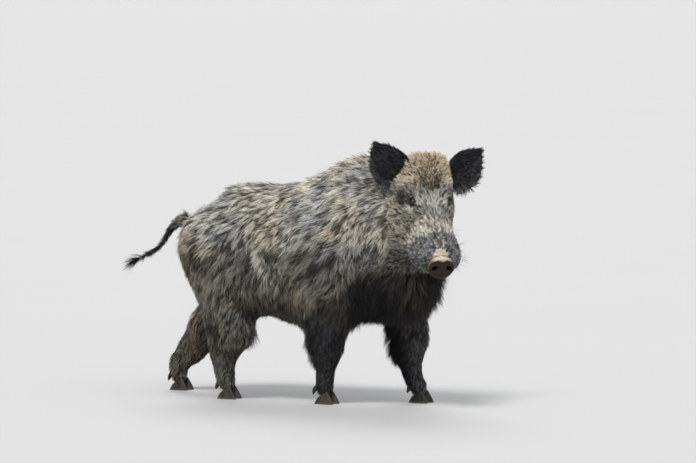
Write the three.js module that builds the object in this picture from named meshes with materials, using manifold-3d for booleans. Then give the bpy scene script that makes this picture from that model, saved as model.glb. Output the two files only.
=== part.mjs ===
// A life-size wild boar, walking, with its head turned to its right. The solids run out to the tips of the
// coat. Millimetres, +Z up. The animal faces -Y and its left side is +X. The origin is on the floor, at the
// middle of the box round the whole animal.
import * as THREE from "three";
import { mergeVertices } from "three/addons/utils/BufferGeometryUtils.js";
import Module from "manifold-3d";

const wasm = await Module();
wasm.setup();

// ---------------------------------------------------------------- driving dimensions

const TRUNK_LENGTH = 884; // from the back of the rump to the front of the shoulders
const EYE_SPACING = 109; // between the middles of the two eyeballs
const EYE_RADIUS = 11.5;
const HEAD_TURN = 48; // degrees that the head is turned to the animal's right
const HEAD_DROP = 35; // degrees that the face points below level
const NOSE_TILT = 12; // degrees that the face of the nose is tipped upwards from the line of the head
const JAW_TILT = 6; // degrees that the mouth's line is tipped upwards from the line of the head
const CUT_GAP = 0.4; // between two pieces that meet

// ---------------------------------------------------------------- places

// A place on the animal: forward of the middle of the trunk, to its left, and above the floor.
const at = (forward, left, up) => new THREE.Vector3(left, -forward, up);

// The head's own frame starts midway between the eyes. Its forward axis runs down the face.
const headFrame = new THREE.Matrix4()
  .makeRotationFromEuler(
    new THREE.Euler(THREE.MathUtils.degToRad(HEAD_DROP), 0, -THREE.MathUtils.degToRad(HEAD_TURN), "ZXY"),
  )
  .setPosition(at(507, -83, 657));
const headInverse = headFrame.clone().invert();
const inHead = (forward, left, up) => at(forward, left, up).applyMatrix4(headFrame);
const headDirection = (forward, left, up) => at(forward, left, up).transformDirection(headFrame);

// ---------------------------------------------------------------- fields
// A field gives the distance from a point to a shape's surface, and is negative inside it.

// A rod from a to b, round, whose radius runs from ra to rb.
function rod(a, b, ra, rb = ra) {
  const along = b.clone().sub(a);
  const lengthSquared = along.lengthSq();
  const offset = new THREE.Vector3();
  return (p) => {
    offset.subVectors(p, a);
    const share = THREE.MathUtils.clamp(offset.dot(along) / lengthSquared, 0, 1);
    return offset.addScaledVector(along, -share).length() - THREE.MathUtils.lerp(ra, rb, share);
  };
}

// An egg shape with three half widths along the axes of a frame whose middle is at centre.
function ball(centre, halfLeft, halfForward, halfUp, frame = new THREE.Matrix4()) {
  const inverse = new THREE.Matrix4().extractRotation(frame).setPosition(centre).invert();
  const local = new THREE.Vector3();
  const size = new THREE.Vector3(halfLeft, halfForward, halfUp);
  return (p) => {
    local.copy(p).applyMatrix4(inverse).divide(size);
    const reach = local.length();
    return (reach * (reach - 1)) / Math.max(local.divide(size).length(), 1e-9);
  };
}

// A body with an outline given at stations along its forward axis: top, bottom, half width and the level
// where it is widest. Its two ends are rounded over the lengths given. toLocal carries a point into its own
// frame.
function outlined({ stations, backEnd, frontEnd, ridge = 2, keel = 2.2, toLocal = new THREE.Matrix4() }) {
  const places = stations.map((s) => s.forward);
  const values = stations.flatMap((s) => [s.top, s.bottom, s.halfWidth, s.widest]);
  const spline = new THREE.CubicInterpolant(places, values, 4, new Float64Array(4));
  const first = places[0];
  const last = places[places.length - 1];
  const local = new THREE.Vector3();
  return (p) => {
    local.copy(p).applyMatrix4(toLocal);
    const forward = -local.y;
    const [top, bottom, halfWidth, widest] = spline.evaluate(THREE.MathUtils.clamp(forward, first, last));
    const up = local.z - widest;
    const power = up > 0 ? ridge : keel;
    const across = Math.abs(local.x) / halfWidth;
    const upright = Math.abs(up) / (up > 0 ? top - widest : widest - bottom);
    const section = (across ** power + upright ** power) ** (1 / power);
    const beyond = Math.max(forward - (last - frontEnd), 0) - Math.max(first + backEnd - forward, 0);
    const end = beyond > 0 ? beyond / frontEnd : -beyond / backEnd;
    const reach = Math.hypot(section, end);
    return Math.hypot(local.x, up, beyond) * (1 - 1 / Math.max(reach, 1e-6));
  };
}

// The shapes run together, with a fillet of about the given size.
function blend(size, ...shapes) {
  return (p) => {
    let whole = shapes[0](p);
    for (let i = 1; i < shapes.length; i++) {
      const next = shapes[i](p);
      const overlap = Math.max(size - Math.abs(whole - next), 0) / size;
      whole = Math.min(whole, next) - (overlap * overlap * size) / 4;
    }
    return whole;
  };
}

// ---------------------------------------------------------------- from a field to a solid

// The corners of a cube, in the order in which the bits of 0 to 7 pick its x, y and z sides.
const CORNERS = [...Array(8).keys()].map((i) => [i & 1, (i >> 1) & 1, (i >> 2) & 1]);
const EDGES = [];
for (let i = 0; i < 8; i++)
  for (const bit of [1, 2, 4]) if (!(i & bit)) EDGES.push([i, i | bit]);

// Moves a point on to the field's surface by a few Newton steps along its slope.
function settle(point, field, reach) {
  const step = 0.5;
  const probe = new THREE.Vector3();
  const slope = new THREE.Vector3();
  const start = point.clone();
  for (let round = 0; round < 4; round++) {
    const value = field(point);
    for (const axis of ["x", "y", "z"]) {
      probe.copy(point)[axis] += step;
      slope[axis] = (field(probe) - value) / step;
    }
    point.addScaledVector(slope, -value / Math.max(slope.lengthSq(), 0.05));
  }
  if (point.distanceTo(start) > reach) point.copy(start);
  return point;
}

// Wraps a closed net of about the given mesh size round the field's surface inside a box.
function netOf(field, box, cell) {
  const count = box.getSize(new THREE.Vector3()).divideScalar(cell).ceil().addScalar(2);
  const origin = box.min.clone().addScalar(-cell / 2);
  const index = (i, j, k) => i + count.x * (j + count.y * k);
  const values = new Float64Array(count.x * count.y * count.z).fill(cell / 2);
  const p = new THREE.Vector3();
  for (let k = 1; k < count.z - 1; k++)
    for (let j = 1; j < count.y - 1; j++)
      for (let i = 1; i < count.x - 1; i++)
        values[index(i, j, k)] = field(p.set(i, j, k).multiplyScalar(cell).add(origin));

  // Two inside corners that meet only across the diagonal of a grid square would pinch the net, so one of
  // the outside corners is filled in.
  const strides = [1, count.x, count.x * count.y];
  for (let filled = true; filled; ) {
    filled = false;
    for (let here = 0; here < values.length - strides[1] - strides[2]; here++)
      for (let axis = 0; axis < 3; axis++) {
        const s = strides[(axis + 1) % 3];
        const t = strides[(axis + 2) % 3];
        const [a, b, c, d] = [here, here + s, here + s + t, here + t];
        const pinched = values[a] < 0 !== values[b] < 0 && values[a] < 0 === values[c] < 0;
        if (!pinched || values[b] < 0 !== values[d] < 0) continue;
        const [one, other] = values[a] < 0 ? [b, d] : [a, c];
        values[values[one] < values[other] ? one : other] = -1;
        filled = true;
      }
  }

  const points = [];
  const pointOf = new Map();
  for (let k = 0; k < count.z - 1; k++)
    for (let j = 0; j < count.y - 1; j++)
      for (let i = 0; i < count.x - 1; i++) {
        const v = CORNERS.map(([x, y, z]) => values[index(i + x, j + y, k + z)]);
        const mean = new THREE.Vector3();
        let crossings = 0;
        for (const [a, b] of EDGES) {
          if (v[a] < 0 === v[b] < 0) continue;
          const share = v[a] / (v[a] - v[b]);
          mean.x += THREE.MathUtils.lerp(CORNERS[a][0], CORNERS[b][0], share);
          mean.y += THREE.MathUtils.lerp(CORNERS[a][1], CORNERS[b][1], share);
          mean.z += THREE.MathUtils.lerp(CORNERS[a][2], CORNERS[b][2], share);
          crossings++;
        }
        if (!crossings) continue;
        mean.divideScalar(crossings).add(p.set(i, j, k)).multiplyScalar(cell).add(origin);
        pointOf.set(index(i, j, k), points.length);
        points.push(settle(mean, field, cell / 2));
      }

  // Each grid edge that crosses the surface gives one four-sided face between the four cells round it.
  const triangles = [];
  for (let k = 0; k < count.z - 1; k++)
    for (let j = 0; j < count.y - 1; j++)
      for (let i = 0; i < count.x - 1; i++) {
        const here = index(i, j, k);
        for (let axis = 0; axis < 3; axis++) {
          const inside = values[here] < 0;
          if (inside === values[here + strides[axis]] < 0) continue;
          const s = strides[(axis + 1) % 3];
          const t = strides[(axis + 2) % 3];
          let quad = [here - s - t, here - t, here, here - s].map((cellIndex) => pointOf.get(cellIndex));
          if (!inside) quad.reverse();
          const [a, b, c, d] = quad.map((q) => points[q]);
          if (a.distanceTo(c) > b.distanceTo(d)) quad = [...quad.slice(1), quad[0]];
          triangles.push(quad[0], quad[1], quad[2], quad[0], quad[2], quad[3]);
        }
      }
  return new THREE.BufferGeometry().setFromPoints(points).setIndex(triangles);
}

// A closed geometry's bare corners and faces, with each corner kept once.
function welded(geometry) {
  const bare = new THREE.BufferGeometry()
    .setAttribute("position", geometry.getAttribute("position"))
    .setIndex(geometry.index);
  return mergeVertices(bare, 1e-3);
}

// The solid of a closed geometry.
function solidOf(geometry) {
  const { attributes, index } = welded(geometry);
  const vertProperties = new Float32Array(attributes.position.array);
  const triVerts = new Uint32Array(index.array);
  return new wasm.Manifold(new wasm.Mesh({ numProp: 3, vertProperties, triVerts }));
}

// A straight box between two corners, made larger on every side by a margin.
const boxOf = (a, b, margin = 0) => new THREE.Box3().setFromPoints([a, b]).expandByScalar(margin);
const flesh = (field, box, cell) => solidOf(netOf(field, box, cell));

// A block between two corners of a frame, made larger on every side by the given amount.
function block(a, b, frame = new THREE.Matrix4(), grown = 0) {
  const box = boxOf(a, b, grown);
  const size = box.getSize(new THREE.Vector3());
  const middle = box.getCenter(new THREE.Vector3());
  return solidOf(new THREE.BoxGeometry(...size).translate(...middle).applyMatrix4(frame));
}

// The solid of a shape grown outwards, to make the seat that the shape sits in.
function seatFor(geometry, by = CUT_GAP) {
  const grown = welded(geometry);
  grown.computeVertexNormals();
  const { position, normal } = grown.attributes;
  for (let i = 0; i < position.count; i++) {
    position.setXYZ(
      i,
      position.getX(i) + by * normal.getX(i),
      position.getY(i) + by * normal.getY(i),
      position.getZ(i) + by * normal.getZ(i),
    );
  }
  return solidOf(grown);
}

// ---------------------------------------------------------------- finishes

const finish = (color, roughness) => new THREE.MeshStandardMaterial({ color, roughness, metalness: 0 });
const GREY_COAT = finish(0x6d6862, 0.95);
const DARK_COAT = finish(0x2a2725, 0.95);
const BARE_NOSE = finish(0x5e4740, 0.55);
const EYE = finish(0x1a0f0a, 0.1);
const HORN = finish(0x2b2622, 0.5);

const boar = new THREE.Group();

function add(name, geometry, material) {
  const mesh = new THREE.Mesh(geometry, material.clone());
  mesh.name = name;
  boar.add(mesh);
}

// Adds the largest body of a solid, without the crumbs that a cut can leave.
function addSolid(name, solid, material) {
  const body = solid.decompose().sort((a, b) => b.volume() - a.volume())[0];
  const { vertProperties, triVerts } = body.getMesh();
  const geometry = new THREE.BufferGeometry()
    .setAttribute("position", new THREE.BufferAttribute(vertProperties, 3))
    .setIndex(new THREE.BufferAttribute(triVerts, 1));
  add(name, geometry, material);
}

// ---------------------------------------------------------------- trunk, neck and legs as one field

const trunkField = outlined({
  stations: [
    { forward: -TRUNK_LENGTH / 2, top: 588, bottom: 430, halfWidth: 82, widest: 510 },
    { forward: -400, top: 606, bottom: 380, halfWidth: 124, widest: 485 },
    { forward: -310, top: 662, bottom: 318, halfWidth: 160, widest: 465 },
    { forward: -200, top: 704, bottom: 296, halfWidth: 182, widest: 450 },
    { forward: -90, top: 707, bottom: 259, halfWidth: 197, widest: 430 },
    { forward: 40, top: 726, bottom: 234, halfWidth: 203, widest: 425 },
    { forward: 150, top: 760, bottom: 256, halfWidth: 196, widest: 440 },
    { forward: 240, top: 784, bottom: 292, halfWidth: 176, widest: 450 },
    { forward: 340, top: 745, bottom: 300, halfWidth: 148, widest: 430 },
    { forward: TRUNK_LENGTH / 2 + 20, top: 640, bottom: 320, halfWidth: 118, widest: 420 },
  ],
  backEnd: 60,
  frontEnd: 130,
  ridge: 1.75,
  keel: 2.3,
});

const neckField = blend(
  50,
  rod(at(230, 0, 642), at(425, -2, 716), 146, 86),
  rod(at(280, 0, 500), at(430, -30, 625), 160, 98),
  rod(at(330, 0, 400), at(445, -50, 505), 124, 88),
);

// Each leg has five knots, from inside the body down to the fetlock: forward place, height and radius. The
// legs are narrower across than they are deep.
const LEGS = {
  fore_right: {
    side: -1,
    fore: true,
    toe: 172,
    knots: [[225, 440, 104], [182, 335, 78], [146, 222, 66], [143, 165, 50], [130, 92, 33]],
  },
  fore_left: {
    side: 1,
    fore: true,
    toe: 410,
    knots: [[285, 440, 104], [300, 335, 80], [326, 218, 72], [328, 150, 50], [343, 90, 34]],
  },
  hind_right: {
    side: -1,
    fore: false,
    toe: -194,
    knots: [[-304, 490, 100], [-242, 345, 100], [-222, 226, 84], [-247, 142, 50], [-245, 88, 35]],
  },
  hind_left: {
    side: 1,
    fore: false,
    toe: -496,
    knots: [[-308, 490, 100], [-306, 345, 90], [-420, 224, 76], [-490, 140, 52], [-546, 90, 35]],
  },
};
const FORE_OUT = [110, 114, 106, 101, 96];
const HIND_OUT = [92, 106, 104, 99, 95];
const LEG_FLATNESS = 0.76;

function legParts({ side, fore, toe, knots }) {
  const out = fore ? FORE_OUT : HIND_OUT;
  const places = knots.map(([forward, up], i) => at(forward, side * out[i], up));
  const radii = knots.map((knot) => knot[2]);
  const foot = at(toe - 42, side * out[4], 46);
  const squashed = new THREE.Vector3();
  const flat = (field) => (p) => {
    squashed.copy(p).x += (p.x - side * out[2]) * (1 / LEG_FLATNESS - 1);
    return LEG_FLATNESS * field(squashed);
  };
  const rods = places.slice(1).map((place, i) => rod(places[i], place, radii[i], radii[i + 1]));
  const ankle = places[4];
  return {
    mass: flat(blend(30, rods[0], rods[1])),
    shank: blend(20, flat(rods[2]), flat(rods[3]), rod(ankle, foot, 32, 28)),
    joint: places[1],
    thin: places[2],
    bend: places[2].clone().lerp(places[3], 0.45),
    ankle,
    foot,
    side,
    fore,
    toe,
  };
}

const limbs = Object.fromEntries(Object.entries(LEGS).map(([name, leg]) => [name, legParts(leg)]));

// ---------------------------------------------------------------- head as a field

const headField = blend(
  20,
  outlined({
    toLocal: headInverse,
    stations: [
      { forward: -175, top: 76, bottom: -120, halfWidth: 76, widest: -20 },
      { forward: -130, top: 112, bottom: -172, halfWidth: 94, widest: -40 },
      { forward: -80, top: 118, bottom: -188, halfWidth: 100, widest: -62 },
      { forward: -40, top: 94, bottom: -184, halfWidth: 96, widest: -70 },
      { forward: 0, top: 54, bottom: -174, halfWidth: 87, widest: -78 },
      { forward: 50, top: 19, bottom: -162, halfWidth: 83, widest: -92 },
      { forward: 100, top: -2, bottom: -154, halfWidth: 83, widest: -98 },
      { forward: 150, top: -16, bottom: -148, halfWidth: 82, widest: -98 },
      { forward: 195, top: -32, bottom: -140, halfWidth: 71, widest: -94 },
      { forward: 228, top: -46, bottom: -128, halfWidth: 46, widest: -86 },
    ],
    backEnd: 60,
    frontEnd: 16,
    ridge: 1.95,
    keel: 2.3,
  }),
  ...[-1, 1].map((side) => ball(inHead(-24, 48 * side, 28), 30, 36, 18, headFrame)),
  ...[-1, 1].map((side) => ball(inHead(-110, 38 * side, 72), 34, 42, 36, headFrame)),
);

const bodyField = blend(70, trunkField, neckField, ...Object.values(limbs).map((limb) => limb.mass));
const wholeField = blend(26, bodyField, headField);

// ---------------------------------------------------------------- eyes, ears, nose and tail

const eyes = {};
for (const [name, side] of [["right", -1], ["left", 1]]) {
  const middle = inHead(3, (side * EYE_SPACING) / 2, 0);
  eyes[name] = new THREE.SphereGeometry(EYE_RADIUS, 10, 8).translate(...middle);
}

// A leaf-shaped cup: its length runs up +Z from the root, its hollow side faces -Y and its tip leans to +X.
// The cup can be grown on all sides.
const EAR_HALF_WIDTHS = [[52, 0], [60, 0.14], [63, 0.32], [60, 0.5], [48, 0.72], [27, 0.88], [4, 1]];
const earOutline = new THREE.CatmullRomCurve3(
  EAR_HALF_WIDTHS.map(([half, share]) => new THREE.Vector3(half, 0, share)),
);

function earGeometry(length, grown) {
  const geometry = new THREE.SphereGeometry(1, 12, 9).rotateX(Math.PI / 2);
  const { position } = geometry.attributes;
  for (let i = 0; i < position.count; i++) {
    const up = THREE.MathUtils.clamp(position.getZ(i), -1, 1);
    const share = Math.acos(-up) / Math.PI;
    const ring = Math.sqrt(1 - up * up);
    const pole = ring < 1e-5;
    const half = pole ? 0 : (earOutline.getPoint(share).x + grown) / ring;
    const thick = pole ? 0 : (THREE.MathUtils.lerp(9, 4, share) + grown) / ring;
    const across = position.getX(i) * half;
    const hollow = 34 * (1 - 0.6 * share) * (1 - (across / 60) ** 2) - 12 * share;
    const height = share * (length + 2 * grown) - grown;
    position.setXYZ(i, across + 16 * share ** 2, position.getY(i) * thick + hollow, height);
  }
  return geometry;
}

function placedEar(side, length, tip, grown) {
  const root = inHead(-70, 84 * side, 12);
  const axis = tip.clone().sub(root).normalize();
  const facing = headDirection(0.75, 0.4 * side, 0.53);
  facing.addScaledVector(axis, -facing.dot(axis)).normalize();
  const across = axis.clone().cross(facing);
  const geometry = earGeometry(length, grown);
  if (across.dot(headDirection(0, side, 0)) < 0) {
    geometry.scale(-1, 1, 1);
    geometry.setIndex([...geometry.index.array].reverse());
  }
  return geometry.applyMatrix4(
    new THREE.Matrix4().makeBasis(across, facing.clone().negate(), axis).setPosition(root),
  );
}

const ears = {
  right: (grown) => placedEar(-1, 168, inHead(-186, -151, 111), grown),
  left: (grown) => placedEar(1, 162, inHead(-163, 176, 92), grown),
};

// The frame of a place in the head, tipped upwards by the given angle.
function tippedFrame(degrees, place) {
  const tipped = new THREE.Matrix4().makeRotationX(THREE.MathUtils.degToRad(-degrees));
  return headFrame.clone().multiply(tipped.setPosition(place));
}

const noseFrame = tippedFrame(NOSE_TILT, at(228, 0, -82));
// The nose is a round-cornered disc, narrower below, with two nostrils sunk into its face.
const noseProfile = [[0, -4], [34, -4], [40, 1], [43, 9], [41, 17], [35, 21], [0, 22]];
const noseDisc = new THREE.LatheGeometry(noseProfile.map(([r, y]) => new THREE.Vector2(r, y)), 16);
noseDisc.rotateX(Math.PI);
for (let i = 0; i < noseDisc.attributes.position.count; i++) {
  const { position } = noseDisc.attributes;
  const up = position.getZ(i);
  const wide = up > 0 ? 1 : 1 + 0.2 * (up / 43);
  position.setX(i, position.getX(i) * wide);
  position.setZ(i, up * 0.86);
}
noseDisc.applyMatrix4(noseFrame);
let nose = solidOf(noseDisc);
for (const side of [-1, 1]) {
  const nostril = new THREE.SphereGeometry(1, 10, 6).scale(8, 11, 12).rotateY(side * 0.45);
  nose = nose.subtract(solidOf(nostril.translate(17 * side, -22, 0).applyMatrix4(noseFrame)));
}

// The middle of the tail from its root to its tip: forward, left, up and radius.
const TAIL = [
  [-452, 0, 574, 26],
  [-486, 0, 560, 19],
  [-512, -2, 535, 16],
  [-530, -4, 502, 14],
  [-556, -6, 474, 13],
  [-592, -8, 456, 15],
  [-640, -10, 436, 14],
  [-682, -12, 416, 3],
];
const tailField = blend(
  6,
  ...TAIL.slice(1).map(([forward, left, up, radius], i) => {
    const [forwardBefore, leftBefore, upBefore, radiusBefore] = TAIL[i];
    return rod(at(forwardBefore, leftBefore, upBefore), at(forward, left, up), radiusBefore, radius);
  }),
);

// ---------------------------------------------------------------- hooves

// One claw, pointing forward, with a flat sole on the floor. It is tallest at the toe and leans back.
function clawGeometry(length, width, height, inward) {
  const sole = new THREE.Shape();
  sole.moveTo(-0.5 * width, 0);
  sole.bezierCurveTo(-0.55 * width, 0.5 * length, -0.4 * width, 0.86 * length, inward * 0.3 * width, length);
  sole.bezierCurveTo(0.4 * width, 0.86 * length, 0.55 * width, 0.5 * length, 0.5 * width, 0);
  sole.bezierCurveTo(0.4 * width, -0.14 * length, -0.4 * width, -0.14 * length, -0.5 * width, 0);
  const settings = { depth: 1, steps: 1, bevelEnabled: false, curveSegments: 4 };
  const geometry = new THREE.ExtrudeGeometry(sole, settings);
  const { position } = geometry.attributes;
  for (let i = 0; i < position.count; i++) {
    const top = position.getZ(i);
    const share = position.getY(i) / length;
    const x = position.getX(i) * (1 - 0.14 * top);
    const y = position.getY(i) * (1 - 0.26 * top) - 4 * top;
    position.setXYZ(i, x, -y, top * height * (0.62 + 0.38 * share));
  }
  geometry.setIndex([...Array(position.count).keys()].reverse());
  return geometry;
}

const claws = {};
for (const [name, { side, toe, foot }] of Object.entries(limbs)) {
  const out = foot.x;
  for (const [which, step] of [["inner", -side], ["outer", side]]) {
    const claw = clawGeometry(64, 27, 42, -step).translate(out + step * 15.5, 64 - toe, 0);
    claws[`claw_${name}_${which}`] = claw;
    const down = new THREE.Vector3(step * 0.25, 0.45, -0.86).normalize();
    const turn = new THREE.Quaternion().setFromUnitVectors(new THREE.Vector3(0, 1, 0), down);
    const dewclaw = new THREE.ConeGeometry(9, 32, 8).applyQuaternion(turn);
    claws[`dewclaw_${name}_${which}`] = dewclaw.translate(out + step * 20, 72 - toe, 40);
  }
}

// ---------------------------------------------------------------- the pieces

// The head ends at the back in a flat face behind the ears, and the lower jaw is parted along the mouth.
const headZone = (grown) => block(at(-125, -122, -192), at(320, 150, 260), headFrame, grown);
const jawFrame = tippedFrame(JAW_TILT, at(90, 0, -132));
const jawZone = (grown) => block(at(0, -120, -90), at(240, 120, 0), jawFrame, grown);

const headBox = boxOf(at(-150, -150, -215), at(280, 150, 150)).applyMatrix4(headFrame);
let skull = flesh(wholeField, headBox, 24);
skull = skull.intersect(headZone(0));
for (const side of [-1, 1]) {
  const socket = new THREE.SphereGeometry(16, 10, 7).translate(...inHead(10, 71 * side, -2));
  skull = skull.subtract(solidOf(socket));
}
for (const seated of [noseDisc, ...Object.values(eyes)]) skull = skull.subtract(seatFor(seated));
for (const ear of Object.values(ears)) skull = skull.subtract(solidOf(ear(CUT_GAP)));
addSolid("head", skull.subtract(jawZone(CUT_GAP)), GREY_COAT);
addSolid("lower_jaw", skull.intersect(jawZone(0)), DARK_COAT);
addSolid("nose_disc", nose, BARE_NOSE);
for (const name of ["right", "left"]) {
  add(`eye_${name}`, eyes[name], EYE);
  add(`ear_${name}`, ears[name](0), DARK_COAT);
}

// The zone of an upper leg is a thick rod along it, from inside the body to below its lower joint.
function limbZone({ joint, thin, fore }, grown) {
  const along = thin.clone().sub(joint);
  const start = joint.clone().addScaledVector(along, fore ? 0.5 : 0.35);
  const end = thin.clone().addScaledVector(along, 1.2);
  const length = start.distanceTo(end) + 2 * grown;
  const zone = new THREE.CylinderGeometry(104 + grown, 104 + grown, length, 16);
  zone.applyQuaternion(
    new THREE.Quaternion().setFromUnitVectors(new THREE.Vector3(0, 1, 0), along.clone().normalize()),
  );
  return solidOf(zone.translate(...start.add(end).multiplyScalar(0.5)));
}

const tailNet = netOf(tailField, boxOf(at(-700, -40, 400), at(-425, 40, 610)), 16);
let body = flesh(wholeField, boxOf(at(-520, -240, 222), at(520, 240, 860)), 47);
body = body.subtract(headZone(CUT_GAP)).subtract(seatFor(tailNet));
for (const ear of Object.values(ears)) body = body.subtract(solidOf(ear(CUT_GAP)));
for (const limb of Object.values(limbs)) body = body.subtract(limbZone(limb, CUT_GAP));
const neckLine = at(0.93, -0.12, 0.34).normalize();
const neckPlace = neckLine.dot(at(320, 0, 600));
const backwards = neckLine.clone().negate();
addSolid("trunk", body.trimByPlane(backwards.toArray(), CUT_GAP - neckPlace), GREY_COAT);
addSolid("neck", body.trimByPlane(neckLine.toArray(), neckPlace), GREY_COAT);

const tail = solidOf(tailNet);
addSolid("tail", tail.trimByPlane([0, -1, 0], -600), DARK_COAT);
addSolid("tail_tassel", tail.trimByPlane([0, 1, 0], 600 + CUT_GAP), DARK_COAT);

for (const [name, limb] of Object.entries(limbs)) {
  const { joint, bend, ankle, foot, shank } = limb;
  const field = blend(20, wholeField, shank);
  const around = boxOf(joint, foot, 110);
  around.min.z = 0;
  const line = joint.clone().sub(ankle).normalize();
  const upper = flesh(field, around, 34).trimByPlane(line.toArray(), line.dot(bend));
  addSolid(`upper_leg_${name}`, upper.intersect(limbZone(limb, 0)), DARK_COAT);
  const down = line.clone().negate();
  let lower = flesh(field, around, 27).trimByPlane(down.toArray(), CUT_GAP + down.dot(bend));
  for (const [piece, geometry] of Object.entries(claws))
    if (piece.includes(name)) lower = lower.subtract(seatFor(geometry));
  addSolid(`lower_leg_${name}`, lower, DARK_COAT);
}
for (const [name, geometry] of Object.entries(claws)) add(name, geometry, HORN);

// The origin goes to the floor under the middle of the box round the animal.
const reach = new THREE.Box3().setFromObject(boar);
const middle = reach.getCenter(new THREE.Vector3());
for (const mesh of boar.children) mesh.geometry.translate(-middle.x, -middle.y, -reach.min.z);

export default boar;
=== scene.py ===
import math

import bmesh
import bpy
import numpy as np
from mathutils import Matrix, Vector
from mathutils.bvhtree import BVHTree


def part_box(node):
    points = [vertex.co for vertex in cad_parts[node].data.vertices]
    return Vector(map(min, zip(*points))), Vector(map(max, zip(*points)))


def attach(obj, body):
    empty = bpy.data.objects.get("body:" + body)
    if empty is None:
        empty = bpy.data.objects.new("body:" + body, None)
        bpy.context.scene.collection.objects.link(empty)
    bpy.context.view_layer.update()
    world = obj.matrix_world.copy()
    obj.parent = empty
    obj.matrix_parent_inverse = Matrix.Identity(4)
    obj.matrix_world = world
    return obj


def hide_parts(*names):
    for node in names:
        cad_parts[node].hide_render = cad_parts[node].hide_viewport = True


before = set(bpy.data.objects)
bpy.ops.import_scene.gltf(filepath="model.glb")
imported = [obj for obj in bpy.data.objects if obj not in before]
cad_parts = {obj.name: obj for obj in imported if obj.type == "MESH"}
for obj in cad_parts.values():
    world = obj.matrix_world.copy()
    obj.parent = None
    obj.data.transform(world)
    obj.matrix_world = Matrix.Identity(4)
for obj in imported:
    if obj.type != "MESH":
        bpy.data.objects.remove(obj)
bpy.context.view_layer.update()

# ---------------------------------------------------------------- the room and the camera
# The animal stands on a plain pale studio floor. The camera is a long lens far off, a little above the
# level of the back, in front of the right shoulder. Three wide soft lamps light the animal and the floor.

LOOK_AT = Vector((0.0818, -0.1353, 0.5435))
CAMERA_AZIMUTH = math.radians(-60.0)
CAMERA_HEIGHT_ANGLE = math.radians(3.12)
CAMERA_DISTANCE = 14.0
LENS_MM, SENSOR_MM = 224.5, 36.0
FLOOR_REACH = 4000.0
WORLD_COLOUR, WORLD_STRENGTH = (0.90, 0.93, 0.97, 1.0), 0.56
# Each lamp's azimuth, height angle, strength, softness as an angle, and colour.
LAMPS = {
    "key_lamp": (-84.0, 60.0, 3.5, 20.0, (1.0, 0.975, 0.94)),
    "fill_lamp": (-20.0, 40.0, 0.75, 50.0, (0.96, 0.98, 1.0)),
    "back_lamp": (120.0, 46.0, 1.6, 30.0, (1.0, 0.99, 0.97)),
}

camera = bpy.data.objects.new("camera", bpy.data.cameras.new("camera"))
camera.data.lens = LENS_MM
camera.data.sensor_width = SENSOR_MM
camera.data.clip_end = 5 * FLOOR_REACH
outwards = Vector((
    math.sin(CAMERA_AZIMUTH) * math.cos(CAMERA_HEIGHT_ANGLE),
    -math.cos(CAMERA_AZIMUTH) * math.cos(CAMERA_HEIGHT_ANGLE),
    math.sin(CAMERA_HEIGHT_ANGLE),
))
camera.location = LOOK_AT + CAMERA_DISTANCE * outwards
camera.rotation_euler = (-outwards).to_track_quat("-Z", "Y").to_euler()
bpy.context.scene.collection.objects.link(camera)
bpy.context.scene.camera = camera

for name, (azimuth, height_angle, strength, softness, colour) in LAMPS.items():
    lamp = bpy.data.lights.new(name, "SUN")
    lamp.energy = strength
    lamp.angle = math.radians(softness)
    lamp.color = colour
    held = bpy.data.objects.new(name, lamp)
    held.rotation_euler = (math.radians(90.0 - height_angle), 0.0, math.radians(azimuth))
    bpy.context.scene.collection.objects.link(held)

world = bpy.data.worlds.new("room")
world.use_nodes = True
world.node_tree.nodes["Background"].inputs["Color"].default_value = WORLD_COLOUR
world.node_tree.nodes["Background"].inputs["Strength"].default_value = WORLD_STRENGTH
bpy.context.scene.world = world
bpy.context.scene.view_settings.view_transform = "Standard"


class Value:
    """A shader socket that takes part in sums: each sign adds a Math node."""

    def __init__(self, paint, socket):
        self.paint = paint
        self.socket = socket

    def sum(self, operation, *terms):
        return self.paint.node("ShaderNodeMath", {"operation": operation}, *terms)[0]

    def __add__(self, other):
        return self.sum("ADD", self, other)

    __radd__ = __add__

    def __rsub__(self, other):
        return self.sum("SUBTRACT", other, self)

    def __mul__(self, other):
        return self.sum("MULTIPLY", self, other)

    __rmul__ = __mul__

    def between(self, low, high):
        """0 below low and 1 above high, with a soft rise between them."""
        settings = {"interpolation_type": "SMOOTHSTEP"}
        return self.paint.node("ShaderNodeMapRange", settings, self, low, high, 0.0, 1.0)[0]


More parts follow.
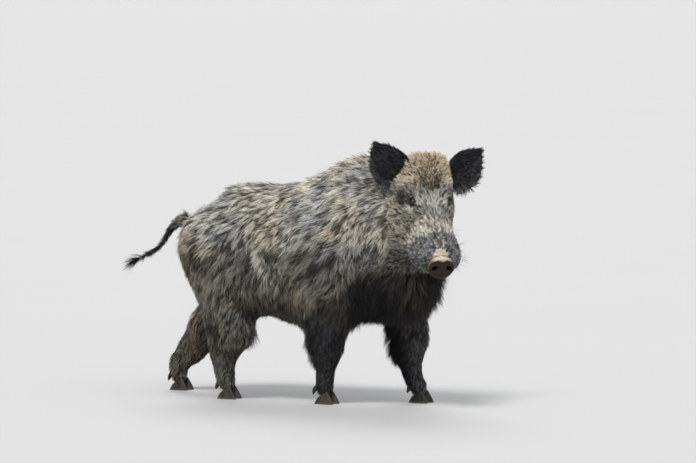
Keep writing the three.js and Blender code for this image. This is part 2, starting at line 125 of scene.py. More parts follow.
class Paint:
    """A material made of nodes, whose constants are set on the shader's own sockets."""

    def __init__(self, name, **constants):
        self.material = bpy.data.materials.new(name)
        self.material.use_nodes = True
        self.tree = self.material.node_tree
        self.shader = self.tree.nodes["Principled BSDF"]
        for socket, value in constants.items():
            self.shader.inputs[socket.replace("_", " ")].default_value = value

    def node(self, kind, settings, *values, **named):
        made = self.tree.nodes.new(kind)
        for key, value in settings.items():
            setattr(made, key, value)
        for place, value in [*enumerate(values), *((k.replace("_", " "), v) for k, v in named.items())]:
            self.feed(made.inputs[place], value)
        return [Value(self, socket) for socket in made.outputs]

    def feed(self, socket, value):
        if isinstance(value, Value):
            self.tree.links.new(value.socket, socket)
        elif value is not None:
            socket.default_value = value

    def blend(self, share, first, second, **settings):
        unused = [None] * 5
        settings = {"data_type": "RGBA", **settings}
        return self.node("ShaderNodeMix", settings, share, *unused, first, second)[2]

    def mix(self, share, first, second):
        """The first colour where share is 0 and the second where it is 1."""
        return self.blend(share, *((*c, 1.0) if isinstance(c, tuple) else c for c in (first, second)))

    def shine(self, colour, by):
        """The colour made brighter or darker by a number that varies."""
        grey = self.node("ShaderNodeCombineColor", {}, by, by, by)[0]
        return self.blend(1.0, colour, grey, blend_type="MULTIPLY")

    def place(self):
        return self.node("ShaderNodeTexCoord", {})[3]

    def noise(self, scale, detail=3.0, stretch=None):
        where = self.place()
        if stretch:
            where = self.node("ShaderNodeMapping", {}, where, None, None, stretch)[0]
        return self.node("ShaderNodeTexNoise", {}, where, None, scale, detail)[0]

    def attribute(self, name):
        return self.node("ShaderNodeAttribute", {"attribute_name": name})

    def marks(self):
        """The three markings of the coat: how dark, how pale at the tips, and how warm."""
        split = self.node("ShaderNodeSeparateColor", {}, self.attribute("marks")[0])
        return split[:3]

    def finish(self, colour=None, roughness=None, height=None, depth=0.001, strength=0.5):
        self.feed(self.shader.inputs["Base Color"], colour)
        self.feed(self.shader.inputs["Roughness"], roughness)
        if height is not None:
            bump = self.node("ShaderNodeBump", {}, strength, depth, Height=height)[0]
            self.feed(self.shader.inputs["Normal"], bump)
        return self.material


def piece_of(name, points, faces, material, smooth=True):
    """A mesh object at the origin, from corners in metres."""
    mesh = bpy.data.meshes.new(name)
    mesh.from_pydata([tuple(p) for p in points], [], [tuple(f) for f in faces])
    mesh.materials.append(material)
    if smooth:
        mesh.shade_smooth()
    mesh.update()
    made = bpy.data.objects.new(name, mesh)
    bpy.context.scene.collection.objects.link(made)
    return made


floor_paint = Paint("studio_floor", Roughness=0.8)
floor_tone = floor_paint.noise(0.6, 2.0)
floor_colour = floor_paint.mix(floor_tone, (0.345, 0.35, 0.35), (0.355, 0.36, 0.36))
floor_corners = [(x * FLOOR_REACH, y * FLOOR_REACH, 0) for x, y in ((-1, -1), (1, -1), (1, 1), (-1, 1))]
floor = piece_of("floor", floor_corners, [(0, 1, 2, 3)], floor_paint.finish(floor_colour), smooth=False)

# ---------------------------------------------------------------- the skin's shape
# One closed hide over the trunk, neck, head, legs and tail. It lies inside the outline by the depth of the
# coat, which is deepest on the crest and flanks and thinnest on the face and feet.

LEG_NAMES = [f"{end}_{side}" for end in ("fore", "hind") for side in ("right", "left")]
FLESH = ["trunk", "neck", "head", "lower_jaw", "tail", "tail_tassel"]
FLESH += [f"{part}_leg_{name}" for part in ("upper", "lower") for name in LEG_NAMES]
ZONES = ["trunk", "neck", "head", "lower_jaw", "tail", "tail_tassel", "upper_leg", "lower_leg"]
LABELS = ZONES + ["ears"]
# How deep the coat is over each zone, in metres, and the size of the net's squares.
COAT_DEPTH = np.array([0.019, 0.020, 0.010, 0.010, 0.006, 0.012, 0.013, 0.0075])
SKIN_NET = 0.0066
# Corners closer than this are one corner.
SAME_PLACE = 1e-6

# The head has a frame of its own, midway between the eyes: along the face, to its left, and up.
EYE_SIDES = {"right": -1.0, "left": 1.0}
eye_centre = {side: sum(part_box(f"eye_{side}"), Vector()) / 2 for side in EYE_SIDES}
TURN, DROP = math.radians(48.0), math.radians(35.0)
FACE = np.array([
    (-math.sin(TURN) * math.cos(DROP), -math.cos(TURN) * math.cos(DROP), -math.sin(DROP)),
    (math.cos(TURN), -math.sin(TURN), 0.0),
    (-math.sin(TURN) * math.sin(DROP), -math.cos(TURN) * math.sin(DROP), math.cos(DROP)),
])
FACE_MIDDLE = np.array((eye_centre["right"] + eye_centre["left"]) / 2) - 0.003 * FACE[0]


def in_head(points):
    """Places in the head's own frame, in millimetres."""
    return (np.asarray(points) - FACE_MIDDLE) @ FACE.T * 1000.0


def world_of(q):
    """The same places in the shared frame, in metres."""
    return FACE_MIDDLE + np.asarray(q) @ FACE / 1000.0


def rise(values, low, high):
    """0 below low and 1 above high, with a soft rise between them. low may be the larger."""
    share = np.clip((values - low) / (high - low), 0.0, 1.0)
    return share * share * (3.0 - 2.0 * share)


def lump(points, middle, size):
    """1 at the middle of a soft lump, falling to 0 outside. The size may differ by axis."""
    away = (points - np.array(middle)) / np.array(size)
    return np.exp(-(away ** 2).sum(-1))


def cloud(points, size, seed):
    """Smooth noise from 0 to 1 with lumps of about the given size."""
    q = np.asarray(points) / size + 500.0
    cell = np.floor(q).astype(np.int64)
    part = q - cell
    part = part * part * (3.0 - 2.0 * part)
    total = np.zeros(len(q))
    for corner in range(8):
        step = np.array([corner & 1, corner >> 1 & 1, corner >> 2 & 1])
        key = (cell + step) @ np.array([73856093, 19349663, 83492791]) + seed * 7919
        key = (key ^ (key >> 13)) * 1274126177 & 0xFFFFFFFF
        key = (key ^ (key >> 16)) * 668265263 & 0xFFFFFFFF
        total += key / 2.0 ** 32 * np.prod(np.where(step, part, 1.0 - part), axis=1)
    return total


def unit(vectors):
    return vectors / np.maximum(np.linalg.norm(vectors, axis=-1, keepdims=True), 1e-9)


def numbers_of(items, key, width, kind=np.int32):
    """One property of every item of a mesh, as rows of the given width."""
    flat = np.empty(len(items) * width, kind)
    items.foreach_get(key, flat)
    return flat.reshape(-1, width)


def points_of(mesh):
    return numbers_of(mesh.vertices, "co", 3, np.float32).astype(float)


def normals_of(mesh):
    return numbers_of(mesh.vertex_normals, "vector", 3, np.float32).astype(float)


def edges_of(mesh):
    return numbers_of(mesh.edges, "vertices", 2)


def set_points(mesh, points):
    mesh.vertices.foreach_set("co", np.asarray(points, np.float32).ravel())
    mesh.update()


def relaxed(values, edges, rounds):
    """Values at the corners of a net, each drawn towards the mean of its neighbours."""
    values = np.array(values, float)
    flat = values if values.ndim > 1 else values[:, None]
    ends = np.concatenate([edges[:, 0], edges[:, 1]])
    others = np.concatenate([edges[:, 1], edges[:, 0]])
    count = np.maximum(np.bincount(ends, minlength=len(flat)), 1)
    for _ in range(rounds):
        for column in range(flat.shape[1]):
            mean = np.bincount(ends, flat[others, column], len(flat)) / count
            flat[:, column] += 0.5 * (mean - flat[:, column])
    return flat if values.ndim > 1 else flat[:, 0]


# The pieces of flesh are joined, wrapped in one net and smoothed.
flesh_points, flesh_faces, flesh_zone = [], [], []
for node in FLESH:
    part = bmesh.new()
    part.from_mesh(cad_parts[node].data)
    bmesh.ops.remove_doubles(part, verts=part.verts, dist=SAME_PLACE)
    bmesh.ops.triangulate(part, faces=part.faces)
    zone = ZONES.index("_".join(node.split("_")[:2]))
    first = len(flesh_points)
    flesh_points += [v.co.copy() for v in part.verts]
    flesh_faces += [tuple(first + v.index for v in f.verts) for f in part.faces]
    flesh_zone += [zone] * len(part.faces)
    part.free()
wrapped = piece_of("wrapped", flesh_points, flesh_faces, None)
wrap = wrapped.modifiers.new("net", "REMESH")
wrap.mode = "VOXEL"
wrap.voxel_size = SKIN_NET
net = bpy.data.meshes.new_from_object(wrapped.evaluated_get(bpy.context.evaluated_depsgraph_get()))
bpy.data.objects.remove(wrapped)
set_points(net, relaxed(points_of(net), edges_of(net), 8))

# The face gets a net twice as fine, and the corners of the eyes four times.
fine = bmesh.new()
fine.from_mesh(net)
for part in ("face", "eyes"):
    places = in_head([v.co for v in fine.verts])
    if part == "eyes":
        away = [np.linalg.norm(places - (4.0, 70.0 * s, -2.0), axis=1) for s in EYE_SIDES.values()]
        picked = np.minimum(*away) < 38.0
    else:
        picked = (places[:, 0] > -92.0) & (np.abs(places[:, 1]) < 130.0) & (places[:, 2] > -215.0)
    cut = [e for e in fine.edges if picked[e.verts[0].index] and picked[e.verts[1].index]]
    bmesh.ops.subdivide_edges(fine, edges=cut, cuts=1, use_grid_fill=True)
    fine.verts.index_update()
fine.to_mesh(net)
fine.free()
net_edges = edges_of(net)
skin_at = relaxed(points_of(net), net_edges, 3)

# Each corner of the net belongs to the piece of flesh that is nearest, with soft borders.
nearest = BVHTree.FromPolygons(flesh_points, flesh_faces)
zone_of = np.array([flesh_zone[nearest.find_nearest(Vector(p))[2]] for p in skin_at])
zones = relaxed(np.eye(len(ZONES))[zone_of], net_edges, 14)
share_of = {name: zones[:, i] for i, name in enumerate(ZONES)}

set_points(net, skin_at)
skin_normal = normals_of(net)
head_at = in_head(skin_at)
coat_depth = zones @ COAT_DEPTH
on_face = share_of["head"] + share_of["lower_jaw"]
coat_depth *= 1.0 - 0.55 * on_face * rise(head_at[:, 0], 60.0, 215.0)
for side in EYE_SIDES.values():
    coat_depth *= 1.0 - 0.75 * lump(head_at, (6.0, 72.0 * side, 0.0), 30.0)
coat_depth *= 1.0 - 0.6 * share_of["lower_leg"] * rise(skin_at[:, 2], 0.10, 0.05)
coat_depth = relaxed(coat_depth, net_edges, 6)
skin_at = skin_at - skin_normal * coat_depth[:, None]
skin_at = relaxed(skin_at, net_edges, 3)
set_points(net, skin_at)

# ---------------------------------------------------------------- the face's relief
# Brows over the eyes, hollows before them, cheekbones, the swollen upper lips, the closed mouth's line and
# the folds behind the nose are raised and sunk in the hide itself.


# Each lump's height, and its middle and size in the head's frame, on both sides.
FACE_LUMPS = [
    (5.5, (-16, 66, 28), (24, 18, 13)),  # brow
    (-4.5, (34, 62, -2), (17, 14, 12)),  # hollow before the eye
    (-3.0, (6, 76, -22), (24, 14, 9)),  # hollow under the eye
    (5.0, (-24, 94, -62), (44, 28, 30)),  # cheekbone
    (-5.0, (66, 84, -58), (36, 22, 28)),  # hollow of the cheek
    (6.0, (160, 72, -86), (34, 24, 26)),  # upper lip
    (3.5, (159, 62, -50), (9, 9, 9)),  # wart
    (-3.0, (110, 34, -22), (60, 11, 16)),  # edge of the bridge
    (4.5, (212, 0, -40), (15, 24, 12)),  # top of the snout
]


def mouth_line(along):
    """The height of the mouth's line, in the head's frame."""
    return -114.0 - 0.115 * (236.0 - along)


def face_relief(q):
    along, left, up = q.T
    side = np.abs(left)
    half = np.stack([along, side, up], axis=1)
    relief = sum(height * lump(half, middle, size) for height, middle, size in FACE_LUMPS)
    bridge = np.exp(-(left / 20.0) ** 2) * rise(along, 15, 70) * rise(along, 215, 170)
    relief += 3.0 * bridge * rise(up, -70, -40)
    grooves = np.cos(left / 9.0 * math.pi) * rise(side, 24, 14)
    relief += 1.6 * rise(along, 160, 176) * rise(along, 206, 196) * grooves
    folds = np.sin(along / 11.0 * math.tau + 0.02 * side ** 1.5)
    relief += 1.1 * folds * rise(along, 178, 196) * rise(along, 238, 226) * rise(up, -104, -80)
    line = mouth_line(along)
    lips = rise(side, 14, 34) * rise(along, 52, 84)
    relief -= 7.0 * lips * np.exp(-((up - line) / 3.6) ** 2)
    relief -= 4.5 * rise(up, line + 2, line - 12) * rise(along, 80, 150)
    relief += 2.5 * lips * np.exp(-((up - line - 15) / 9.0) ** 2)
    return relief


head_at = in_head(skin_at)
relief = on_face * face_relief(head_at) * rise(head_at[:, 0], -85.0, -50.0)
skin_at = skin_at + normals_of(net) * (relief / 1000.0)[:, None]

# Soft folds of the body: the crease of the flank before the haunch, the shoulder's edge and the hollow behind
# it, the haunch and the top of the rump.
FLANK_FOLD = np.array([(-150, 92, 575), (-168, 90, 522), (-184, 54, 435), (-184, 8, 368)]) / 1000.0
SPINE_X = 0.0125
# Each lump's height in millimetres, and its middle and size in metres, on both sides.
BODY_LUMPS = [
    (6.0, (-0.19, -0.17, 0.47), (0.08, 0.07, 0.12)),  # shoulder
    (-6.0, (-0.19, -0.085, 0.45), (0.08, 0.028, 0.13)),  # hollow behind the shoulder
    (5.0, (-0.17, 0.20, 0.45), (0.09, 0.08, 0.12)),  # haunch
    (13.0, (-0.04, 0.235, 0.69), (0.09, 0.085, 0.06)),  # top of the rump
]


def mirrored(points):
    """The same places, all carried over to the animal's right side."""
    flat = np.array(points, float)
    flat[:, 0] = -np.abs(flat[:, 0] - SPINE_X) + SPINE_X
    return flat


def from_path(points, path):
    """How far each point is from a bent line."""
    best = np.full(len(points), np.inf)
    for a, b in zip(path[:-1], path[1:]):
        along = b - a
        share = np.clip(((points - a) @ along) / (along @ along), 0, 1)
        best = np.minimum(best, np.linalg.norm(points - a - share[:, None] * along, axis=1))
    return best


right_side = mirrored(skin_at)
fold_away = from_path(right_side, FLANK_FOLD)
on_body = share_of["trunk"] + share_of["neck"] + share_of["upper_leg"]
swell = -12.0 * np.exp(-(fold_away / 0.015) ** 2)
swell += 8.0 * np.exp(-((fold_away - 0.034) / 0.024) ** 2)
swell += sum(height * lump(right_side, middle, size) for height, middle, size in BODY_LUMPS)
swell += 9.0 * (cloud(skin_at, 0.06, 3) - 0.5)
skin_at = skin_at + normals_of(net) * (on_body * swell / 1000.0)[:, None]
set_points(net, skin_at)

# ---------------------------------------------------------------- the eyelids
# Each eye lies deep between two thick lids, which wrap the eyeball in an almond opening and run out into
# the hide. Their rings are fitted to the eyeball inside and to the hide outside.

EYE_RADIUS = 11.5
LID_REACH = 21.0
LID_RINGS, LID_STEPS = 15, 48
# The middle of the nose's disc in the head's frame, and half its width and height.
NOSE_AT = np.array([228.0, 0.0, -82.0])
NOSE_HALF_WIDTH, NOSE_HALF_HEIGHT = 43.0, 37.0


class Eye:
    """One eye's middle and axes, in the head's frame, in millimetres."""

    def __init__(self, name):
        side = EYE_SIDES[name]
        self.side = side
        self.middle = in_head([eye_centre[name]])[0]
        self.out = unit(np.array([0.60, 0.74 * side, 0.30]))
        corner = np.array([0.82, 0.0, -0.42])
        self.corner = unit(corner - (corner @ self.out) * self.out)
        self.lid = np.cross(self.out, self.corner) * side
        self.lid *= np.sign(self.lid[2])

    def opening(self, angle):
        """How far the opening reaches from the eye's axis, as an angle."""
        wide = np.abs(np.cos(angle)) / 1.06
        high = np.abs(np.sin(angle)) / np.where(np.sin(angle) > 0, 0.74, 0.62)
        return 1.0 / (wide ** 1.55 + high ** 1.55) ** (1 / 1.55)

    def around(self, angle):
        return np.cos(angle)[:, None] * self.corner + np.sin(angle)[:, None] * self.lid


eyes = {name: Eye(name) for name in EYE_SIDES}
finder = BVHTree.FromPolygons([Vector(p) for p in skin_at], [tuple(f.vertices) for f in net.polygons])
lid_parts = []
for eye in eyes.values():
    angle = np.linspace(0, math.tau, LID_STEPS, endpoint=False)
    spoke = eye.around(angle)
    start = world_of(eye.middle + 45.0 * eye.out + LID_REACH * spoke)
    inward = Vector(-eye.out @ FACE)
    rim = np.array([finder.ray_cast(Vector(p), inward)[0] or Vector(p) for p in start])
    rim = in_head(rim) - 0.8 * eye.out
    opening = eye.opening(angle)

    def on_ball(reach, radius):
        return eye.middle + radius * (np.cos(reach)[:, None] * eye.out + np.sin(reach)[:, None] * spoke)

    rings = [on_ball(opening + 0.10, EYE_RADIUS - 0.2), on_ball(opening, EYE_RADIUS + 0.25)]
    rings += [on_ball(opening + 0.01, EYE_RADIUS + 1.5), on_ball(opening + 0.08, EYE_RADIUS + 2.5)]
    inner = rings[-1]
    leaving = unit(on_ball(opening + 0.30, EYE_RADIUS + 3.2) - inner)
    arriving = unit(spoke + 0.1 * eye.out)
    span = np.linalg.norm(rim - inner, axis=1)[:, None]
    # The rest of the rings follow a smooth curve from the lid's edge out to the hide.
    for step in np.linspace(0, 1, LID_RINGS - len(rings) + 1)[1:]:
        a, b = 2 * step ** 3 - 3 * step ** 2 + 1, step ** 3 - 2 * step ** 2 + step
        c, d = 3 * step ** 2 - 2 * step ** 3, step ** 3 - step ** 2
        ring = a * inner + b * span * leaving + c * rim + d * span * arriving
        crease = np.exp(-((step - 0.36) / 0.10) ** 2) * (1.6 * np.clip(np.sin(angle), 0, 1) ** 0.5)
        crease += np.exp(-((step - 0.42) / 0.12) ** 2) * (1.2 * np.clip(-np.sin(angle), 0, 1) ** 0.5)
        rings.append(ring - crease[:, None] * eye.out)
    lid_parts.append(np.concatenate(rings))

# The hide under each lid is pressed in, so that only the lid shows there.
head_at = in_head(skin_at)
for eye in eyes.values():
    away = head_at - eye.middle
    height = away @ eye.out
    reach = np.linalg.norm(away - height[:, None] * eye.out, axis=1)
    pressed = rise(reach, LID_REACH - 0.5, LID_REACH - 5.0) * (height > -12.0) * np.maximum(height + 2.0, 6.0)
    head_at = head_at - pressed[:, None] * eye.out
# Behind the nose's face the snout ends short, clear of the nostrils.
disc_share = np.hypot(head_at[:, 1] / NOSE_HALF_WIDTH, (head_at[:, 2] - NOSE_AT[2]) / NOSE_HALF_HEIGHT)
in_disc = rise(disc_share, 0.92, 0.78)
head_at[:, 0] -= 0.9 * in_disc * np.clip(head_at[:, 0] - 221.0, 0.0, 40.0)
skin_at = world_of(head_at)
set_points(net, skin_at)

# ---------------------------------------------------------------- the ears
# Each ear is a thin upright leaf of gristle and hide, hollow in front, with a thick root and a few folds
# that run up the hollow. The root is buried in the hide of the head.

# Half the ear's width at shares of its length, and each ear's length and tip in the head's frame.
EAR_OUTLINE = [(0.0, 16), (0.05, 40), (0.14, 57), (0.32, 64), (0.5, 61), (0.72, 44), (0.88, 23), (1.0, 1.0)]
EAR_ROWS, EAR_STEPS = 40, 56
EARS = {"right": (158, (-186, -151, 111)), "left": (153, (-163, 176, 92))}
ear_parts = []
for name, (length, tip) in EARS.items():
    side = EYE_SIDES[name]
    root = np.array([-70.0, 84.0 * side, 12.0])
    axis = unit(np.array(tip) - root)
    facing = np.array([0.75, 0.4 * side, 0.53])
    facing = unit(facing - (facing @ axis) * axis)
    across = np.cross(axis, facing)
    across *= np.sign(across[1] * side)
    share, turn = np.meshgrid(
        np.linspace(0, 1, EAR_ROWS), np.linspace(0, math.tau, EAR_STEPS, endpoint=False), indexing="ij"
    )
    half = np.interp(share, *zip(*EAR_OUTLINE))
    half = np.array([np.convolve(np.pad(h, 2, "edge"), np.ones(5) / 5, "valid") for h in half.T]).T
    half[-1] = 1.0
    flat = np.cos(turn)
    wide = np.sign(flat) * np.abs(flat) ** 0.8 * half
    thick = 3.6 - 1.6 * share + 3.0 * np.clip(0.25 - share, 0, 1)
    hollow = 34 * (1 - 0.6 * share) * (1 - (wide / 60) ** 2) - 12 * share
    folds = 1.8 * np.cos(wide / 8.0) * np.sin(math.pi * share) * np.clip(-np.sin(turn), 0, 1)
    edge = 5.0 * np.clip(np.abs(wide) / np.maximum(half, 1.0) - 0.8, 0, 1) * np.sin(math.pi * share)
    depth = hollow + np.sin(turn) * thick + folds - edge
    q = root + (wide + 16 * share ** 2)[..., None] * across
    q = q - depth[..., None] * facing + (share * length)[..., None] * axis
    ear_parts.append(dict(
        points=q.reshape(-1, 3), side=side, axis=axis, across=across, share=share.ravel(),
        flat=flat.ravel(), inside=(np.sin(turn) < 0).ravel(), rim=(np.abs(flat) > 0.9).ravel(),
    ))


def sleeve(rows, steps, flip, capped):
    """Faces between rings of corners, with the first and last rings closed if capped."""
    faces = []
    for r in range(rows - 1):
        for s in range(steps):
            t = (s + 1) % steps
            face = (r * steps + s, r * steps + t, (r + 1) * steps + t, (r + 1) * steps + s)
            faces.append(face[::-1] if flip else face)
    if capped:
        base = tuple(range(steps))
        last = tuple(range((rows - 1) * steps, rows * steps))
        faces += [last[::-1], base] if flip else [last, base[::-1]]
    return faces


# ---------------------------------------------------------------- the markings and the lie of the coat
# Adult winter coat: dark roots with pale tips on the back and flanks, black forelegs, chest and ears, a tan
# crown, a pale bridge and band across the muzzle, and slate sides to the muzzle behind the nose.
# Some of these marks are painted light and shade: painted shade on the throat, in a hollow of the flank and
# behind its fold, and painted light on the front of the far foreleg.

# A pale ridge of hair runs from the ear's root down the edge of the cheek, in the head's frame.
CHEEK_RIDGE = np.array([(-43, 112, -30), (-8, 134, -80), (36, 153, -132)]) / 1000.0
# How long the hair is over each zone, in millimetres.
HAIR_LENGTH = {"trunk": 41, "neck": 42, "head": 17, "lower_jaw": 22, "tail": 24, "tail_tassel": 56}
HAIR_LENGTH.update(upper_leg=33, lower_leg=18)


def skin_fields(points, normals, q, share):
    """What the coat is like at each place: its markings, its lie, and the size of its tufts."""
    mm = mirrored(points) * 1000.0
    y, z = mm.T[1:]
    ny, nz = normals.T[1:]
    along, left, up = q.T
    side = np.abs(left)
    half = np.stack([along, side, up], axis=1)
    face = share["head"] + share["lower_jaw"]
    body = share["trunk"] + share["neck"]
    legs = share["upper_leg"] + share["lower_leg"]
    hinder = rise(y, -40, 60)
    wide_cloud = cloud(points, 0.085, 11)
    # Hair shows its colour at the tip, behind and below its root, so small marks are set that much ahead.
    seen = mm + body[:, None] * np.array([0.0, 14.0, -22.0])

    # dark, pale and warm, first on the body and legs
    blur = 46.0 * (cloud(points, 0.05, 12) - 0.5)
    lower = rise(z + 0.5 * blur, 600, 430)
    dark = 0.04 + 0.38 * lower + 0.30 * (wide_cloud - 0.5)
    pale = 0.86 + 0.17 * rise(z, 600, 700) - 0.50 * lower
    # Painted shade: the throat and the front of the neck are made darker and less pale.
    throat_painted_shade = rise(y, -215, -320) * rise(z, 690, 590)
    dark += 0.06 * throat_painted_shade
    pale -= 0.10 * throat_painted_shade
    warm = 0.44 + 0.18 * rise(z, 480, 340) + 0.7 * (cloud(points, 0.07, 13) - 0.5)
    edge = 371.0 - 0.31 * (y + 186.0)
    # Painted light: the forward-facing front of the far foreleg is made less dark and paler, and is kept out
    # of the chest's black.
    far_leg_painted_light = rise(points[:, 0] * 1000.0, 0, 50) * rise(-ny, -0.1, 0.6)
    leg_dark = (1 - hinder) * rise(z + blur, edge + 26, edge - 40) * (0.90 - 0.20 * far_leg_painted_light)
    leg_dark += hinder * rise(z + blur, 420, 250) * 0.58
    on_leg = np.maximum(legs, rise(y, -60, -130) + hinder * rise(z, 330, 285) * 0.85)
    dark = np.maximum(dark, leg_dark * on_leg)
    warm -= rise(z, 330, 290) * (1 - hinder) * legs * 0.5
    pale += 0.2 * far_leg_painted_light * (1 - hinder) * legs * rise(z, 370, 250)
    under = rise(-nz, 0.10, 0.65) * rise(z, 430, 360)
    dark = np.maximum(dark, 0.78 * under)
    warm += 0.12 * under
    chest = rise(z + blur + 0.35 * (y + 300), 470, 415) * rise(y, -205, -275) * (1 - far_leg_painted_light * rise(z, 370, 250))
    dark = np.maximum(dark, 0.99 * chest)
    patch = lump(seen, (-84, -456, 350), (52, 40, 58))
    patch_dots = rise(cloud(points, 0.009, 18), 0.48, 0.62)
    shoulder = lump(seen, (-150, -215, 615), (60, 90, 60)) * (1 - face)
    nape = lump(seen, (-103, -338, 690), (40, 40, 34)) * (1 - face)
    dark = np.maximum(dark - (0.26 + 0.55 * patch_dots) * patch, 0.80 * nape)
    rusty = lump(seen, (-152, 52, 590), (60, 30, 34))
    # Painted shade: a dark hollow on the middle of the flank above the pale swirl, and a narrow dark line
    # down the flank's fold.
    hollow = lump(seen, (-186, 6, 467), (60, 40, 20)) + 0.9 * lump(seen, (-172, 92, 505), (60, 11, 62))
    swirl = lump(seen, (-188, 10, 436), (60, 40, 14))
    streak = lump(seen, (-128, 152, 604), (70, 26, 52)) + lump(seen, (-170, 172, 505), (46, 32, 56))
    streak = np.clip(streak + lump(seen, (-188, -100, 560), (60, 90, 60)) * 0.7, 0, 1)
    fold_away = from_path(seen / 1000.0, FLANK_FOLD)
    fold = np.exp(-((fold_away - 0.008) / 0.011) ** 2) * (1 - legs)
    # Painted shade: a dark band just behind the flank's fold, on the haunch side.
    behind_fold_painted_shade = np.exp(-((fold_away - 0.04) / 0.03) ** 2) * rise(z, 540, 470) * rise(y, 40, 80)
    rump = rise(y, 300, 400) * rise(z, 600, 520) * rise(z, 220, 300)
    hock = lump(mm, (-80, 432, 262), (40, 34, 44)) * hinder
    for amount, more_dark, more_pale, more_warm in (
        (patch, 0, -0.10, 0.60),
        (shoulder, 0, 0.22, 0),
        (rusty, 0, -0.25, 0.35),
        (np.clip(hollow, 0, 1), 0.85, 0, 0),
        (swirl, -0.15, 0.30, -0.30),
        (streak, 0, 0.20, -0.42),
        (fold, -0.25 * (1 - leg_dark), 0.50, 0),
        (behind_fold_painted_shade * rise(z, 300, 360), 0.35, 0, 0),
        (rump, 0.10, 0, 0.34),
        (hock, -0.55, 0, 0.5),
    ):
        dark += more_dark * amount
        pale += more_pale * amount
        warm += more_warm * amount
    tail = share["tail"] + share["tail_tassel"]
    dark = dark * (1 - tail) + tail * (0.35 + 0.62 * rise(y + 0.6 * (560 - z), 440, 500))
    pale = pale * (1 - tail) + tail * 0.5

    # then the face
    ragged = 22.0 * (cloud(points, 0.0085, 17) - 0.5)
    crown_line = along + 0.75 * side + 0.6 * ragged
    crown = rise(crown_line, 24, -4) * rise(up, 4, 30)
    low_crown = crown * rise(crown_line, -34, -4) * rise(side, 40, 18)
    crown_edge = np.exp(-((crown_line + 8) / 12.0) ** 2) * rise(side, 34, 56) * rise(up, 0, 24)
    brow_shade = lump(half, (-12, 68, 34), (22, 20, 13)) * (1 - crown)
    bridge = lump(half, (36, 0, 24), (32, 26, 30)) + 0.8 * lump(half, (26, 42, 16), (18, 14, 12))
    notch = lump(half, (66, 6, 16), (11, 12, 24))
    front = 141.0 - 0.0024 * side ** 2 + ragged
    band = rise(along + ragged, 62, 88) * rise(along, front + 7, front - 7) * rise(up, -122, -96)
    muzzle = rise(along, front - 5 - 0.22 * side, front + 9 + 0.22 * side)
    seam = np.exp(-((side - 9.0 - 2.0 * rise(along, 190, 170)) / 2.2) ** 2)
    seam = seam * rise(along, 160, 172) * rise(along, 210, 198)
    wart = lump(half, (158, 63, -51), (8, 8, 8))
    wart_ring = np.clip(lump(half, (158, 63, -51), (17, 15, 15)) * 1.2 - wart, 0, 1)
    eye_pale = np.maximum(lump(half, (22, 42, 18), (18, 8, 14)), 0.5 * lump(half, (12, 62, -20), (22, 20, 9)))
    tear = lump(half, (35, 49, 1), (11, 5, 5)) + lump(half, (-24, 86, -8), (27, 20, 22))
    cheek = np.clip(lump(half, (-6, 104, -46), (58, 30, 62)) * 1.3, 0, 1)
    ridge = np.exp(-(from_path(half / 1000.0, CHEEK_RIDGE) / 0.008) ** 2)
    speck = rise(cloud(points, 0.0046, 14), 0.50, 0.70)
    dots = rise(cloud(points, 0.0036, 15), 0.56, 0.66)
    grain = cloud(points, 0.013, 16)
    bare = face * rise(along, 192, 204) * rise(side, 15 + 0.9 * (along - 196), 9 + 0.9 * (along - 196))
    bare = bare * rise(up, -74, -60)
    face_dark, face_pale, face_warm = 0.30 + 0.30 * speck, 0.56, 0.50
    for amount, (d, p, w) in (
        (cheek, (0.26, 0.84, 0.64)),
        (brow_shade, (0.46, 0.55, 0.30)),
        (crown, (0.06 + 0.62 * dots, 1.25, 0.84)),
        (low_crown, (0.44 + 0.5 * dots, 0.68, 0.74)),
        (crown_edge, (0.0 + 0.3 * dots, 1.3, 0.66)),
        (np.clip(bridge * 1.3, 0, 1) * (1 - crown), (0.0 + 0.2 * dots, 1.25, 0.26)),
        (notch, (0.40, 0.80, 0.12)),
        (band, (0.04 + 0.88 * dots, 1.12, 0.50)),
        (muzzle, (0.16 + 0.36 * grain + 0.44 * speck, 0.86, 0.02)),
        (seam, (0.05, 1.0, 0.60)),
        (wart_ring, (0.82, 0.30, 0.30)),
        (wart, (0.05, 0.95, 0.80)),
        (rise(along, 196, 222) * rise(up, -84, -58), (0.30, 0.62, 0.70)),
        (bare, (0.05, 1.2, 0.62)),
        (np.clip(2.0 * eye_pale, 0, 1), (0.0, 1.3, 0.30)),
        (np.clip(tear, 0, 1), (0.96, 0.1, 0.5)),
        (rise(up, mouth_line(along) + 8, mouth_line(along) - 14), (0.66, 0.5, 0.5)),
    ):
        face_dark += amount * (d - face_dark)
        face_pale += amount * (p - face_pale)
        face_warm += amount * (w - face_warm)
    dark = dark * (1 - face) + face * face_dark
    pale = pale * (1 - face) + face * face_pale
    warm = warm * (1 - face) + face * face_warm
    dark -= 0.9 * ridge * dark
    pale += 0.25 * ridge
    warm += 0.08 * ridge

